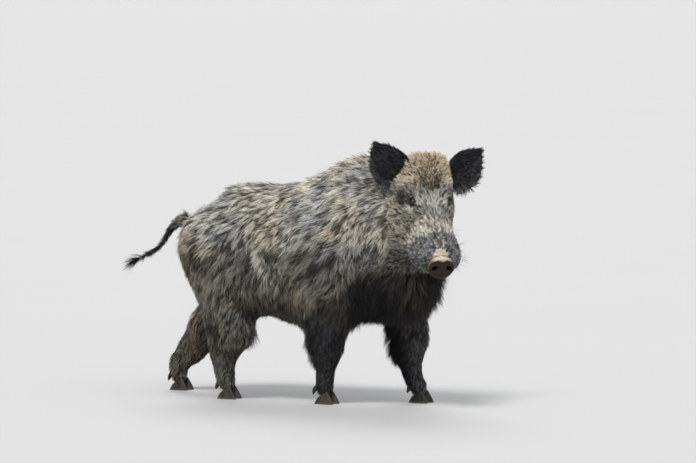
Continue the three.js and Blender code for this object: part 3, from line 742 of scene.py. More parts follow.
    # the lie
    slope = np.radians(44 + 21 * rise(z, 720, 560) - 14 * rise(y, -150, -330) * rise(z, 560, 640))[:, None]
    back, down = np.array([0.0, 1.0, 0.0]), np.array([0.0, 0.0, -1.0])
    lie = body[:, None] * (np.cos(slope) * back + np.sin(slope) * down)
    lie += legs[:, None] * (0.20 * back + down)
    side_way = np.sign(left)[:, None] * FACE[1]
    cheeks = rise(-up, 30, 90)[:, None]
    face_lie = -FACE[0] - 0.55 * cheeks * FACE[2] + 0.25 * (1 - cheeks) * side_way
    face_lie = face_lie - 0.8 * (rise(along, 40, -60) * rise(-up, 20, 80))[:, None] * FACE[2]
    lie += face[:, None] * face_lie
    tail_way = unit(np.array([0.0, 0.80, -0.60]) + rise(z, 560, 600)[:, None] * np.array([0, 0.3, 0.6]))
    lie += tail[:, None] * tail_way
    lie -= (lie * normals).sum(1, keepdims=True) * normals
    lie = unit(lie)
    across = np.cross(lie, normals)
    wave = 1.15 * (cloud(points, 0.075, 21) - 0.5) + 0.7 * (cloud(points, 0.028, 22) - 0.5)
    wave = wave * (1 - 0.45 * face) * (1 - 0.5 * legs)
    wave = (wave + 3.4 * crown * face * (cloud(points, 0.0065, 23) - 0.5))[:, None]
    lie = unit(np.cos(wave) * lie + np.sin(wave) * across)

    # the size of the tufts in millimetres, and how many stand on a square metre
    length = sum(share[zone] * mean for zone, mean in HAIR_LENGTH.items())
    lift = 0.58 * body + 0.50 * legs + 0.55 * face + 0.45 * tail
    lift -= 0.12 * body * rise(z, 560, 480)
    crest = np.exp(-((points[:, 0] - SPINE_X) / 0.035) ** 2) * rise(nz, 0.6, 0.9) * rise(y, -20, -140) * body
    length += 8 * crest
    lift += 0.20 * crest
    settle = 0.10 + 0.15 * crest
    belly = under * body
    brisket = chest * body * rise(y, -385, -430)
    length += 10 * belly + 16 * chest * body + 10 * brisket
    lift += 0.25 * chest * body + 0.25 * brisket
    settle += 0.40 * brisket
    tufted = rise(along, -30, -70) * rise(up, 50, 88) * share["head"]
    length += 5 * tufted - 4 * crown * face
    lift += 0.55 * (crown * face)
    settle += 0.45 * (crown * face)
    ruff = face * rise(along, 20, -60) * rise(-up, 20, 110)
    length += 18 * ruff
    length -= face * 8.0 * rise(along, 120, 200)
    near_eye = lump(half, (8, 70, 0), (30, 24, 26)) * face
    length *= 1 - 0.72 * near_eye
    length *= 1 - 0.55 * rise(along, 205, 235) * face
    feet = share["lower_leg"] * rise(z, 90, 45)
    length *= 1 + 0.25 * feet
    lift += 0.10 * feet
    fringe = legs * (rise(ny, 0.35, 0.8) * (1 - hinder) + rise(-ny, 0.35, 0.8) * hinder * rise(z, 170, 230))
    fringe *= rise(z, 110, 160) * rise(z, 400, 330)
    length += 24 * fringe
    lift += 0.34 * fringe
    settle += 0.34 * fringe
    fine_hair = face + 0.55 * share["lower_leg"] + 0.3 * share["upper_leg"] + 0.5 * tail
    width = 1.25 - 0.38 * np.clip(fine_hair, 0, 1) - 0.3 * near_eye - 0.2 * face * rise(along, 120, 200)
    spread = 3.9 - 1.3 * np.clip(fine_hair, 0, 1)
    crowd = 20500 * body + 52000 * face
    crowd = crowd + 19000 * share["upper_leg"] + 42000 * share["lower_leg"] + 45000 * tail
    crowd *= 1 + 0.35 * near_eye + 0.4 * face * rise(along, 120, 200)
    crowd *= 1 - 0.80 * bare
    clump = 0.62 - 0.04 * face
    dark, pale, warm = np.clip(dark, 0, 1), np.clip(pale, 0, 1.3), np.clip(warm, 0, 1)
    return dict(
        dark=dark, pale=pale, warm=warm, bare=bare, lie=lie, length=length, lift=lift, settle=settle,
        width=width, spread=spread, crowd=crowd, clump=clump,
    )


skin_normal = normals_of(net)
skin_faces = [tuple(f.vertices) for f in net.polygons]
parts_at, parts_label = [skin_at], [zone_of]
parts_fields = [skin_fields(skin_at, skin_normal, head_at, share_of)]


def begin_part(q, rows, steps, side, capped):
    """The faces, normals and coat of a part of the head that is made apart from the hide."""
    faces = sleeve(rows, steps, side < 0, capped)
    part = piece_of("part", world_of(q), faces, None)
    normals = normals_of(part.data)
    bpy.data.objects.remove(part)
    only_head = {name: np.full(len(q), float(name == "head")) for name in ZONES}
    return faces, normals, skin_fields(world_of(q), normals, q, only_head)


def join_part(q, faces, normals, own, lie, label, **even):
    """Joins a part to the hide. The values in even are the same all over it."""
    own["lie"] = unit(lie - (lie * normals).sum(1, keepdims=True) * normals)
    own.update({key: np.full(len(q), float(value)) for key, value in even.items()})
    first = sum(len(points) for points in parts_at)
    skin_faces.extend(tuple(first + i for i in f) for f in faces)
    parts_at.append(world_of(q))
    parts_fields.append(own)
    parts_label.append(np.full(len(q), LABELS.index(label)))


# The lids and ears are joined to the hide, with their own short coat.
for eye, q in zip(eyes.values(), lid_parts):
    faces, normals, own = begin_part(q, LID_RINGS, LID_STEPS, eye.side, False)
    ring = np.repeat(np.arange(LID_RINGS), LID_STEPS)
    away = unit(q - eye.middle)
    spoke = unit((away - (away @ eye.out)[:, None] * eye.out) @ FACE)
    own["crowd"] = np.where(ring < 6, 0.0, 90000.0)
    own["length"] = 2.2 + 0.30 * ring
    own["dark"] = np.maximum(own["dark"], rise(ring, 8, 5))
    join_part(q, faces, normals, own, spoke, "head", spread=1.6, bare=0)
for ear in ear_parts:
    q = ear["points"]
    faces, normals, own = begin_part(q, EAR_ROWS, EAR_STEPS, ear["side"], True)
    share, flat, inside = ear["share"], ear["flat"], ear["inside"].astype(float)
    way, sideways = ear["axis"] @ FACE, ear["across"] @ FACE
    lie = way + (-0.55 * flat * (1 - inside))[:, None] * sideways
    lie = lie + (0.55 * inside)[:, None] * sideways + (0.35 * ear["rim"] * np.sign(flat))[:, None] * sideways
    fringe = rise(flat, 0.62, 0.95) * rise(share, 0.85, 0.55)
    lobe = rise(share, 0.34, 0.10) * rise(flat, 0.15, 0.6)
    lie = lie + lobe[:, None] * (-1.9 * way + 0.5 * sideways)
    own["length"] = 11.0 + 8.0 * inside * (1 - 0.6 * share) + 3.0 * fringe + 12.0 * lobe
    own["lift"] = 0.30 + 0.20 * inside + 0.05 * fringe + 0.15 * lobe
    own["crowd"] = 60000.0 * rise(share, 0.02, 0.06) * (1 - 0.3 * inside)
    own["dark"] = 0.99 - 0.13 * inside * cloud(world_of(q), 0.02, 31) - 0.10 * fringe - 0.08 * lobe
    own["pale"] = 0.35 + 0.2 * inside + 0.25 * fringe + 0.2 * lobe
    even = dict(settle=0.12, width=1.05, spread=3.0, clump=0.5, warm=0.06, bare=0)
    join_part(q, faces, normals, own, lie, "ears", **even)
fields = {key: np.concatenate([f[key] for f in parts_fields]) for key in parts_fields[0]}
label = np.concatenate(parts_label)


def add_values(mesh, name, values, kind="FLOAT", field="value"):
    """Gives each corner of a mesh a value that a material can read."""
    layer = mesh.attributes.new(name, kind, "POINT")
    layer.data.foreach_set(field, np.asarray(values, np.float32).ravel())


def add_marks(mesh, coat, times=1):
    marks = np.stack([coat[key] for key in ("dark", "pale", "warm", "bare")], axis=1)
    add_values(mesh, "marks", np.repeat(marks, times, axis=0), "FLOAT_COLOR", "color")


def coat_colour(paint, strength, grow):
    """The hair's colour from its markings: dark at the root, and pale, tan or slate at the tip."""
    dark, pale, warm = paint.marks()
    slate, grey, tan = (0.435, 0.45, 0.47), (0.66, 0.63, 0.545), (0.69, 0.545, 0.375)
    tip = paint.mix(warm.between(0.5, 0.95), paint.mix(warm.between(0.1, 0.5), slate, grey), tan)
    root = paint.mix(dark, (0.030, 0.025, 0.021), (0.0048, 0.0055, 0.0070))
    shown = grow * (1.0 - 0.965 * dark) * (0.16 + 0.84 * pale)
    return paint.mix(shown * strength, root, tip)


skin_paint = Paint("hide", Roughness=0.62, Specular_IOR_Level=0.2)
hide_noise = skin_paint.noise(90.0, 4.0)
pores = skin_paint.noise(520.0, 2.0)
hide_colour = coat_colour(skin_paint, hide_noise * 0.5 + 0.15, 0.45)
bare_colour = skin_paint.mix(hide_noise, (0.22, 0.165, 0.135), (0.62, 0.54, 0.46))
hide_colour = skin_paint.mix(skin_paint.attribute("marks")[3], hide_colour, bare_colour)
hide_rough = 0.5 + 0.25 * pores
hide_height = hide_noise + 0.5 * pores
hide = skin_paint.finish(hide_colour, hide_rough, hide_height, 0.0012, 0.5)

skin = piece_of("skin", np.concatenate(parts_at), skin_faces, hide)
add_marks(skin.data, fields)
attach(skin, "root")
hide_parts(*FLESH, "ear_right", "ear_left")
bpy.context.view_layer.objects.active = skin
skin.select_set(True)
bpy.ops.object.mode_set(mode="EDIT")
bpy.ops.mesh.select_all(action="SELECT")
bpy.ops.uv.smart_project(angle_limit=math.radians(66), island_margin=0.001)
bpy.ops.object.mode_set(mode="OBJECT")
skin.data.uv_layers[0].name = "OFBake"

# ---------------------------------------------------------------- the coat
# Stiff flattened bristles in tufts, each thin and curved down on to the next. The tufts are spread evenly
# over the hide and follow its lie, and the bristles of a tuft draw together towards its tip.

# The width of one tuft's patch of a piece's map, and a bristle's width along it by its number of segments.
TUFT_PATCH = 0.0029
PROFILE = {3: (0.75, 1.0, 0.62, 0.0), 2: (0.85, 0.8, 0.0)}
# How deep a bristle's root lies in the hide, the border of a piece's map, and the cells of the walk.
ROOT_DEPTH, MAP_BORDER, WALK_CELL = 0.0012, 0.004, 0.004
COAT_SEED = 41
# The pieces of coat: their zones, the segments of a bristle and the bristles of a tuft.
COAT_PIECES = {
    "trunk": (["trunk"], 3, 7),
    "neck": (["neck"], 3, 7),
    "head": (["head", "lower_jaw"], 2, 8),
    "legs": (["upper_leg", "lower_leg"], 2, 7),
    "tail": (["tail", "tail_tassel"], 3, 7),
    "ears": (["ears"], 2, 7),
}
PIECE_LIMIT = 198000

mesh = skin.data
mesh.calc_loop_triangles()
corners = numbers_of(mesh.loop_triangles, "vertices", 3)
loops = numbers_of(mesh.loop_triangles, "loops", 3)
unwrap = numbers_of(mesh.uv_layers[0].data, "uv", 2, np.float32)
skin_points = points_of(mesh)
skin_normals = normals_of(mesh)
a, b, c = (skin_points[corners[:, i]] for i in range(3))
area = 0.5 * np.linalg.norm(np.cross(b - a, c - a), axis=1)

# The net's triangles are walked in an order that keeps neighbours together, and tufts are set down at even
# steps of crowding along that walk.
middle = (a + b + c) / 3
grid = np.floor((middle - middle.min(0)) / WALK_CELL).astype(np.int64)
code = np.zeros(len(grid), np.int64)
for bit in range(10):
    for axis in range(3):
        code |= ((grid[:, axis] >> bit) & 1) << (3 * bit + axis)
order = np.argsort(code)
rng = np.random.default_rng(COAT_SEED)
weight = (area * fields["crowd"][corners].mean(1))[order]
reached = np.cumsum(weight)
total = int(reached[-1])
marks_at = (np.arange(total) + rng.random(total)) * reached[-1] / total
home = order[np.minimum(np.searchsorted(reached, marks_at), len(order) - 1)]
inner = rng.random((total, 2))
over = inner.sum(1) > 1
inner[over] = 1 - inner[over]
weights = np.stack([1 - inner.sum(1), inner[:, 0], inner[:, 1]], axis=1)


def at_tufts(values):
    values = np.asarray(values)
    picked = values[corners[home]]
    return (picked * weights.reshape(weights.shape + (1,) * (picked.ndim - 2))).sum(1)


tuft = {key: at_tufts(value) for key, value in fields.items()}
tuft["root"] = at_tufts(skin_points)
tuft["normal"] = unit(at_tufts(skin_normals))
tuft["lie"] = unit(tuft["lie"] - (tuft["lie"] * tuft["normal"]).sum(1, keepdims=True) * tuft["normal"])
tuft["uv"] = (unwrap[loops[home]] * weights[:, :, None]).sum(1)
tuft["label"] = label[corners[home, 0]]
# Locks of lighter and darker hair run along the lie on the body, and are finer on the face and feet.
combed = tuft["root"] @ np.array([(1.0, 0.0, 0.0), (0.0, 0.08, 0.82), (0.0, -0.11, 0.57)])
locks = 0.70 * cloud(combed, 0.0070, 51) + 0.05 * cloud(tuft["root"], 0.045, 52)
fine_locks = 0.75 * cloud(tuft["root"], 0.0046, 53)
fine_hair = rise(tuft["spread"], 3.7, 2.9)
streaks = locks + fine_hair * (fine_locks - locks) + 0.25 * rng.random(total)
tuft["warm"] = np.clip(tuft["warm"] + rng.normal(0.0, 0.13, total), 0.0, 1.0)
tuft["shade"] = rise(streaks, 0.36 - 0.04 * fine_hair, 0.60 - 0.04 * fine_hair)


def coat_piece(name, chosen, strands, segments, seed, material):
    """One piece of coat: the chosen tufts, each of a few strands, as one mesh."""
    rng = np.random.default_rng(seed)
    n = len(chosen) * strands
    own = {key: np.repeat(value[chosen], strands, axis=0) for key, value in tuft.items()}

    def by_tuft(draw, *limits):
        """A random number for each tuft, which all of its bristles share."""
        return np.repeat(draw(*limits, len(chosen)), strands)

    normal, lie = own["normal"], own["lie"]
    across = np.cross(lie, normal)
    yaw = rng.normal(0, 0.12, n) + by_tuft(rng.normal, 0, 0.16)
    lie, across = (
        np.cos(yaw)[:, None] * lie + np.sin(yaw)[:, None] * across,
        np.cos(yaw)[:, None] * across - np.sin(yaw)[:, None] * lie,
    )
    turn, reach = rng.uniform(0, math.tau, n), np.sqrt(rng.random(n)) * own["spread"] / 1000.0
    offset = (np.cos(turn) * reach * 1.5)[:, None] * lie + (np.sin(turn) * reach * 0.8)[:, None] * across
    length = own["length"] / 1000.0 * rng.uniform(0.70, 1.12, n)
    length *= by_tuft(rng.uniform, 0.85, 1.15)
    lift = own["lift"] * by_tuft(rng.uniform, 0.75, 1.30) + rng.normal(0, 0.07, n)
    bend = by_tuft(rng.normal, 0, 0.16)
    width = own["width"] / 2000.0 * rng.uniform(0.75, 1.2, n)
    roll = rng.normal(0, 0.55, n)
    shade = np.clip(own["shade"] + rng.uniform(-0.22, 0.22, n), 0.0, 1.0)
    centre = own["root"] + offset - normal * ROOT_DEPTH
    rows, grows = [], []
    for k in range(segments + 1):
        t = k / segments
        if k:
            angle = lift + (own["settle"] - lift) * (k - 0.5) / segments
            step = length / segments
            centre = centre + (np.cos(angle) * step)[:, None] * lie + (np.sin(angle) * step)[:, None] * normal
            centre = centre + (bend * step * t)[:, None] * across
            centre = centre - offset * (own["clump"] / segments)[:, None]
        angle = lift + (own["settle"] - lift) * t
        face_up = np.cos(angle)[:, None] * normal - np.sin(angle)[:, None] * lie
        flat = np.cos(roll)[:, None] * across + np.sin(roll)[:, None] * face_up
        half = (width * PROFILE[segments][k])[:, None]
        rows += [centre] if k == segments else [centre - half * flat, centre + half * flat]
        grows += [t] if k == segments else [t, t]
    per = 2 * segments + 1
    points = np.stack(rows, axis=1).reshape(-1, 3)
    first = (np.arange(n) * per)[:, None]
    quads = [first + np.array([2 * k, 2 * k + 1, 2 * k + 3, 2 * k + 2]) for k in range(segments - 1)]
    last = first + np.array([2 * segments - 2, 2 * segments - 1, 2 * segments])
    corners_of = np.concatenate([np.stack(quads, axis=1).reshape(n, -1), last], axis=1).ravel()
    sizes = np.tile([4] * (segments - 1) + [3], n)
    mesh = bpy.data.meshes.new(name)
    mesh.vertices.add(len(points))
    mesh.vertices.foreach_set("co", points.astype(np.float32).ravel())
    mesh.loops.add(len(corners_of))
    mesh.loops.foreach_set("vertex_index", corners_of.astype(np.int32))
    mesh.polygons.add(len(sizes))
    mesh.polygons.foreach_set("loop_start", (np.cumsum(sizes) - sizes).astype(np.int32))
    mesh.polygons.foreach_set("use_smooth", np.ones(len(sizes), bool))
    mesh.materials.append(material)
    mesh.update(calc_edges=True)
    low, high = tuft["uv"][chosen].min(0), tuft["uv"][chosen].max(0)
    patch = MAP_BORDER + (1 - 2 * MAP_BORDER) * (own["uv"] - low) / (high - low)
    side = np.array([-1.0, 1.0] * segments + [0.0])
    u = patch[:, 0, None] + side * TUFT_PATCH / 2
    v = patch[:, 1, None] + (np.array(grows) - 0.5) * TUFT_PATCH
    map_layer = mesh.uv_layers.new(name="OFBake")
    flat_uv = np.stack([u, v], axis=2).reshape(-1, 2)[corners_of]
    map_layer.data.foreach_set("uv", flat_uv.astype(np.float32).ravel())
    add_marks(mesh, own, per)
    add_values(mesh, "grow", np.tile(grows, n))
    add_values(mesh, "shade", np.repeat(shade, per))
    made = bpy.data.objects.new(name, mesh)
    bpy.context.scene.collection.objects.link(made)
    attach(made, "root")


bristle = Paint("bristle", Roughness=0.5, Specular_IOR_Level=0.16)
grow = bristle.attribute("grow")[2]
shade = bristle.attribute("shade")[2]
_, bristle_pale, _ = bristle.marks()
strand_noise = bristle.noise(150.0, 2.0)
glow = 0.45 * bristle_pale.between(1.0, 1.3)
strength = (0.05 + glow + 1.24 * shade) * (0.64 + 0.72 * strand_noise)
bristle_colour = coat_colour(bristle, strength, grow.between(0.0, 0.6))
bristle_material = bristle.finish(bristle_colour, 0.42 + 0.2 * strand_noise)

for seed, (name, (zones_of_piece, segments, strands)) in enumerate(COAT_PIECES.items()):
    chosen = np.flatnonzero(np.isin(tuft["label"], [LABELS.index(zone) for zone in zones_of_piece]))
    chosen = chosen[np.argsort(tuft["root"][chosen, 1])]
    split = math.ceil(len(chosen) * strands * (2 * segments - 1) / PIECE_LIMIT)
    for i, group in enumerate(np.array_split(chosen, split)):
        coat_piece(f"coat_{name}_{i + 1}", group, strands, segments, 100 * seed + i, bristle_material)

# ---------------------------------------------------------------- the whiskers and lashes
# Long stiff hairs stand out of the lips, the chin, the cheeks and the brows, and a row of lashes leans out
# over each eye. They are round hairs that taper to a point, set one by one in the hide.

whisker_paint = Paint("whisker", Roughness=0.4, Specular_IOR_Level=0.3)
whisker_tone = whisker_paint.noise(35.0, 2.0)
whisker_share = whisker_tone.between(0.45, 0.62)
whisker_colour = whisker_paint.mix(whisker_share, (0.010, 0.009, 0.009), (0.34, 0.31, 0.26))
whisker_material = whisker_paint.finish(whisker_colour)
WHISKER_SEED, TURN_SEED = 77, 7


def hair_tree(name, material):
    """Sets a tapered hair on each point, along the point's own way and as long as its reach."""
    tree = bpy.data.node_groups.new(name, "GeometryNodeTree")
    tree.interface.new_socket("Roots", in_out="INPUT", socket_type="NodeSocketGeometry")
    tree.interface.new_socket("Hairs", in_out="OUTPUT", socket_type="NodeSocketGeometry")
    sizes = {}
    kinds = (("Thickness", "Float", 0.0004), ("Bend", "Float", 0.2), ("Turn seed", "Int", TURN_SEED))
    for size, kind, value in kinds:
        socket = tree.interface.new_socket(size, in_out="INPUT", socket_type=f"NodeSocket{kind}")
        socket.default_value = value
        sizes[size] = socket.identifier
    given = tree.nodes.new("NodeGroupInput")

    def node(kind, inputs, **settings):
        made = tree.nodes.new(kind)
        for key, value in settings.items():
            setattr(made, key, value)
        for place, value in inputs.items():
            if isinstance(value, bpy.types.NodeSocket):
                tree.links.new(value, made.inputs[place])
            else:
                made.inputs[place].default_value = value
        return made.outputs

    def attribute(kind, which):
        return node("GeometryNodeInputNamedAttribute", {"Name": which}, data_type=kind)[0]

    tip = node("ShaderNodeCombineXYZ", {0: given.outputs["Bend"], 2: 1.0})[0]
    bow = {"Resolution": 7, "Start": (0, 0, 0), "Middle": (0, 0, 0.55), "End": tip}
    curve = node("GeometryNodeCurveQuadraticBezier", bow)[0]
    along = node("GeometryNodeSplineParameter", {})[0]
    taper = node("ShaderNodeMath", {0: 1.0, 1: along}, operation="SUBTRACT")[0]
    taper = node("ShaderNodeMath", {0: taper, 1: 0.6}, operation="POWER")[0]
    taper = node("ShaderNodeMath", {0: taper, 1: given.outputs["Thickness"]}, operation="MULTIPLY")[0]
    ring = node("GeometryNodeCurvePrimitiveCircle", {"Resolution": 4, "Radius": 1.0})[0]
    drawn = {"Curve": curve, "Profile Curve": ring, "Scale": taper, "Fill Caps": True}
    hair = node("GeometryNodeCurveToMesh", drawn)[0]
    any_turn = {2: 0.0, 3: math.tau, "Seed": given.outputs["Turn seed"]}
    spin = node("FunctionNodeRandomValue", any_turn, data_type="FLOAT")[1]
    spin = node("ShaderNodeCombineXYZ", {2: spin})[0]
    spin = node("FunctionNodeEulerToRotation", {0: spin})[0]
    towards = {"Rotation": spin, "Vector": attribute("FLOAT_VECTOR", "way")}
    aim = node("FunctionNodeAlignRotationToVector", towards, axis="Z")[0]
    reach = attribute("FLOAT", "reach")
    scale = node("ShaderNodeCombineXYZ", {0: 1.0, 1: 1.0, 2: reach})[0]
    set_down = {"Points": given.outputs["Roots"], "Instance": hair, "Rotation": aim, "Scale": scale}
    hairs = node("GeometryNodeInstanceOnPoints", set_down)[0]
    hairs = node("GeometryNodeRealizeInstances", {"Geometry": hairs})[0]
    hairs = node("GeometryNodeSetMaterial", {"Geometry": hairs, "Material": material})[0]
    tree.links.new(hairs, tree.nodes.new("NodeGroupOutput").inputs[0])
    return tree, sizes


def set_hairs(name, roots, ways, reaches, thickness, bend):
    """A piece of single hairs. Roots and ways are in the head's frame; reaches are in millimetres."""
    points = piece_of(name, world_of(roots), [], whisker_material)
    add_values(points.data, "way", unit(np.array(ways)) @ FACE, "FLOAT_VECTOR", "vector")
    add_values(points.data, "reach", np.array(reaches) / 1000.0)
    tree, sizes = hair_tree(name, whisker_material)
    made = points.modifiers.new("hairs", "NODES")
    made.node_group = tree
    made[sizes["Thickness"]] = thickness
    made[sizes["Bend"]] = bend
    made[sizes["Turn seed"]] = TURN_SEED
    grown = bpy.data.meshes.new_from_object(points.evaluated_get(bpy.context.evaluated_depsgraph_get()))
    points.modifiers.remove(made)
    points.data = grown
    grown.shade_smooth()
    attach(points, "root")


# Where they grow: the middle and size of each patch, how many, how long, and which way they point.
WHISKER_PATCHES = [
    ((172, 58, -92), (26, 12, 16), 26, 34, (0.30, 1.00, -0.35)),
    ((205, 40, -100), (14, 12, 10), 14, 22, (0.55, 0.80, -0.60)),
    ((158, 63, -51), (4, 4, 4), 4, 38, (0.20, 1.00, 0.35)),
    ((176, 16, -142), (26, 12, 6), 16, 30, (0.55, 0.20, -1.00)),
    ((30, 96, -104), (22, 10, 18), 8, 46, (-0.10, 1.00, -0.50)),
    ((-8, 62, 36), (14, 14, 6), 12, 32, (0.55, 0.45, 0.75)),
]
skin_tree = BVHTree.FromPolygons([Vector(p) for p in skin_points], [tuple(c) for c in corners.tolist()])
rng = np.random.default_rng(WHISKER_SEED)
roots, ways, reaches = [], [], []
for side in EYE_SIDES.values():
    for patch_middle, patch_size, number, reach, way in WHISKER_PATCHES:
        for _ in range(number):
            q = np.array(patch_middle) + rng.normal(0, 0.6, 3) * patch_size
            found, normal, _, _ = skin_tree.find_nearest(Vector(world_of(q * (1, side, 1))))
            outwards_here = np.array(normal) @ FACE.T
            roots.append(in_head([found])[0] - 1.5 * outwards_here)
            ways.append(unit(np.array(way) * (1, side, 1)) + 0.8 * outwards_here + rng.normal(0, 0.16, 3))
            reaches.append(reach * rng.uniform(0.6, 1.25))
set_hairs("whiskers", roots, ways, reaches, thickness=0.00034, bend=0.008)

roots, ways, reaches = [], [], []
for eye in eyes.values():
    for turn in np.linspace(0.16, 0.84, 19) * math.pi:
        opening = eye.opening(np.array([turn]))[0] + 0.12
        spoke = eye.around(np.array([turn]))[0]
        on_lid = math.cos(opening) * eye.out + math.sin(opening) * spoke
        roots.append(eye.middle + (EYE_RADIUS + 1.2) * on_lid)
        ways.append(0.75 * eye.out + 0.9 * spoke - 0.15 * eye.lid + rng.normal(0, 0.07, 3))
        reaches.append(rng.uniform(7.0, 12.0))
set_hairs("lashes", roots, ways, reaches, thickness=0.00030, bend=0.0022)

# ---------------------------------------------------------------- the eyes
# Small dark brown eyes. Each is a ball with a clear bulge in front, a round iris and a pupil that is wider
# than it is high, always wet.

eye_paint = Paint("wet_eye", Roughness=0.12, Coat_Weight=0.4, Coat_Roughness=0.03, Specular_IOR_Level=0.35)
gaze = eye_paint.attribute("gaze")[2]
pupil = eye_paint.attribute("pupil")[2]
fibres = eye_paint.noise(900.0, 3.0)
iris = eye_paint.mix(fibres, (0.006, 0.003, 0.002), (0.026, 0.012, 0.006))
white = eye_paint.mix(fibres, (0.020, 0.013, 0.010), (0.045, 0.032, 0.026))
eye_colour = eye_paint.mix(gaze.between(0.44, 0.54), white, iris)
eye_colour = eye_paint.mix(pupil.between(0.92, 1.08), (0.002, 0.002, 0.002), eye_colour)
eye_material = eye_paint.finish(eye_colour)

BALL_ROWS, BALL_STEPS = 48, 56
# Half the pupil's width and height, as shares of the ball's radius.
PUPIL_WIDE, PUPIL_HIGH = 0.30, 0.19


def merge(made, fill_holes=False):
    """Joins corners in the same place, and turns every face outwards."""
    closed = bmesh.new()
    closed.from_mesh(made.data)
    bmesh.ops.remove_doubles(closed, verts=closed.verts, dist=SAME_PLACE)
    if fill_holes:
        bmesh.ops.holes_fill(closed, edges=closed.edges, sides=0)
    bmesh.ops.recalc_face_normals(closed, faces=closed.faces)
    closed.to_mesh(made.data)
    closed.free()


for name, eye in eyes.items():
    lean = np.linspace(0.0, math.pi, BALL_ROWS)[:, None]
    turn = np.linspace(0, math.tau, BALL_STEPS, endpoint=False)[None, :]
    spoke = np.cos(turn)[..., None] * eye.corner + np.sin(turn)[..., None] * eye.lid
    ball_out = np.cos(lean)[..., None] * eye.out + np.sin(lean)[..., None] * spoke
    radius = EYE_RADIUS - 0.15 + 0.9 * rise(np.cos(lean), 0.72, 0.98)[..., None]
    q = (eye.middle + radius * ball_out).reshape(-1, 3)
    faces = sleeve(BALL_ROWS, BALL_STEPS, eye.side > 0, False)
    ball = piece_of(f"eyeball_{name}", world_of(q), faces, eye_material)
    level = ball_out.reshape(-1, 3)
    at_pupil = np.hypot((level @ eye.corner) / PUPIL_WIDE, (level @ eye.lid) / PUPIL_HIGH)
    add_values(ball.data, "gaze", level @ eye.out)
    add_values(ball.data, "pupil", at_pupil + 9.0 * (level @ eye.out < 0))
    merge(ball)
    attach(ball, "root")
    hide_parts(f"eye_{name}")

# ---------------------------------------------------------------- the nose
# The bare disc that a boar digs with: thick-rimmed, pale on its upper edge, brown on its face, with two
# deep nostrils, a shallow groove between them and fine pebbled skin.

NOSE_LEAN = math.radians(12.0)
nose_out = np.array([math.cos(NOSE_LEAN), 0.0, math.sin(NOSE_LEAN)])
nose_up = np.array([-math.sin(NOSE_LEAN), 0.0, math.cos(NOSE_LEAN)])
nose_left = np.array([0.0, 1.0, 0.0])
NOSE_STEPS = 112
nose_turn = np.linspace(0, math.tau, NOSE_STEPS, endpoint=False)
# From the root in the snout, over the rim, to the middle of the face: how far out, and how far forward.
nose_side = [(0.70, -16.0), (0.80, -9.0), (0.90, -2.0), (0.975, 4.0), (1.0, 9.0), (0.99, 14.0), (0.955, 18.0)]
nose_section = nose_side + [(0.90, 20.6), (0.84, 21.4)]
nose_section += [(r, 21.4 + 0.4 * r) for r in np.linspace(0.80, 0.0, 34)]


def from_nostril(x, z, side):
    """How far a place on the nose is from the middle of a nostril, with 1 at its edge."""
    across = (x - side * (23.5 - 0.10 * z)) / 9.8
    return np.hypot(across, (z - 4.0 + 2.2 * side * across) / 8.8)


nose_points = []
for reach, forward in nose_section:
    wide, high = np.cos(nose_turn), np.sin(nose_turn)
    x = NOSE_HALF_WIDTH * reach * np.sign(wide) * np.abs(wide) ** 0.92
    z = NOSE_HALF_HEIGHT * reach * np.sign(high) * np.abs(high) ** 0.95
    x = x * np.where(z < 0, 1 + 0.20 * z / NOSE_HALF_HEIGHT, 1.0)
    hump = np.exp(-(x / 15.0) ** 2) * rise(z, 20, 36)
    z = z + 2.4 * hump * reach
    on_front = rise(forward, 14, 20)
    ahead = forward + 1.8 * on_front * rise(z, 14, 30) - 3.2 * on_front * rise(-z, 4, 34)
    for side in (-1, 1):
        away = from_nostril(x, z, side)
        ahead -= 15.0 * on_front * rise(away, 1.06, 0.42)
        ahead += 1.9 * on_front * np.exp(-((away - 1.32) / 0.26) ** 2)
    ahead -= 1.5 * on_front * np.exp(-(x / 2.6) ** 2) * rise(z, 22, 4)
    ahead -= 0.7 * on_front * (0.5 + 0.5 * np.sin(z * 1.1)) * rise(np.abs(x), 26, 34)
    q = NOSE_AT + x[:, None] * nose_left + z[:, None] * nose_up + ahead[:, None] * nose_out
    nose_points.append(q)
nose_points = np.concatenate(nose_points)

nose_paint = Paint("bare_nose", Roughness=0.42, Specular_IOR_Level=0.25)
rim_share, pit_painted_shade_share, _ = nose_paint.marks()
pebbles = nose_paint.node("ShaderNodeTexVoronoi", {"feature": "F1"}, nose_paint.place(), None, 620.0)[0]
blotches = nose_paint.noise(60.0, 3.0)
face_colour = nose_paint.mix(blotches, (0.013, 0.006, 0.004), (0.040, 0.019, 0.014))
rim_colour = nose_paint.mix(blotches, (0.20, 0.15, 0.12), (0.60, 0.50, 0.42))
nose_colour = nose_paint.mix(rim_share, face_colour, rim_colour)
# Painted shade: the insides of the nostrils are painted near black.
nose_colour = nose_paint.mix(pit_painted_shade_share, nose_colour, (0.003, 0.002, 0.002))
nose_colour = nose_paint.shine(nose_colour, 0.72 + 0.5 * pebbles)
nose_material = nose_paint.finish(nose_colour, 0.34 + 0.3 * blotches + 0.5 * pit_painted_shade_share, pebbles, 0.0006, 0.55)

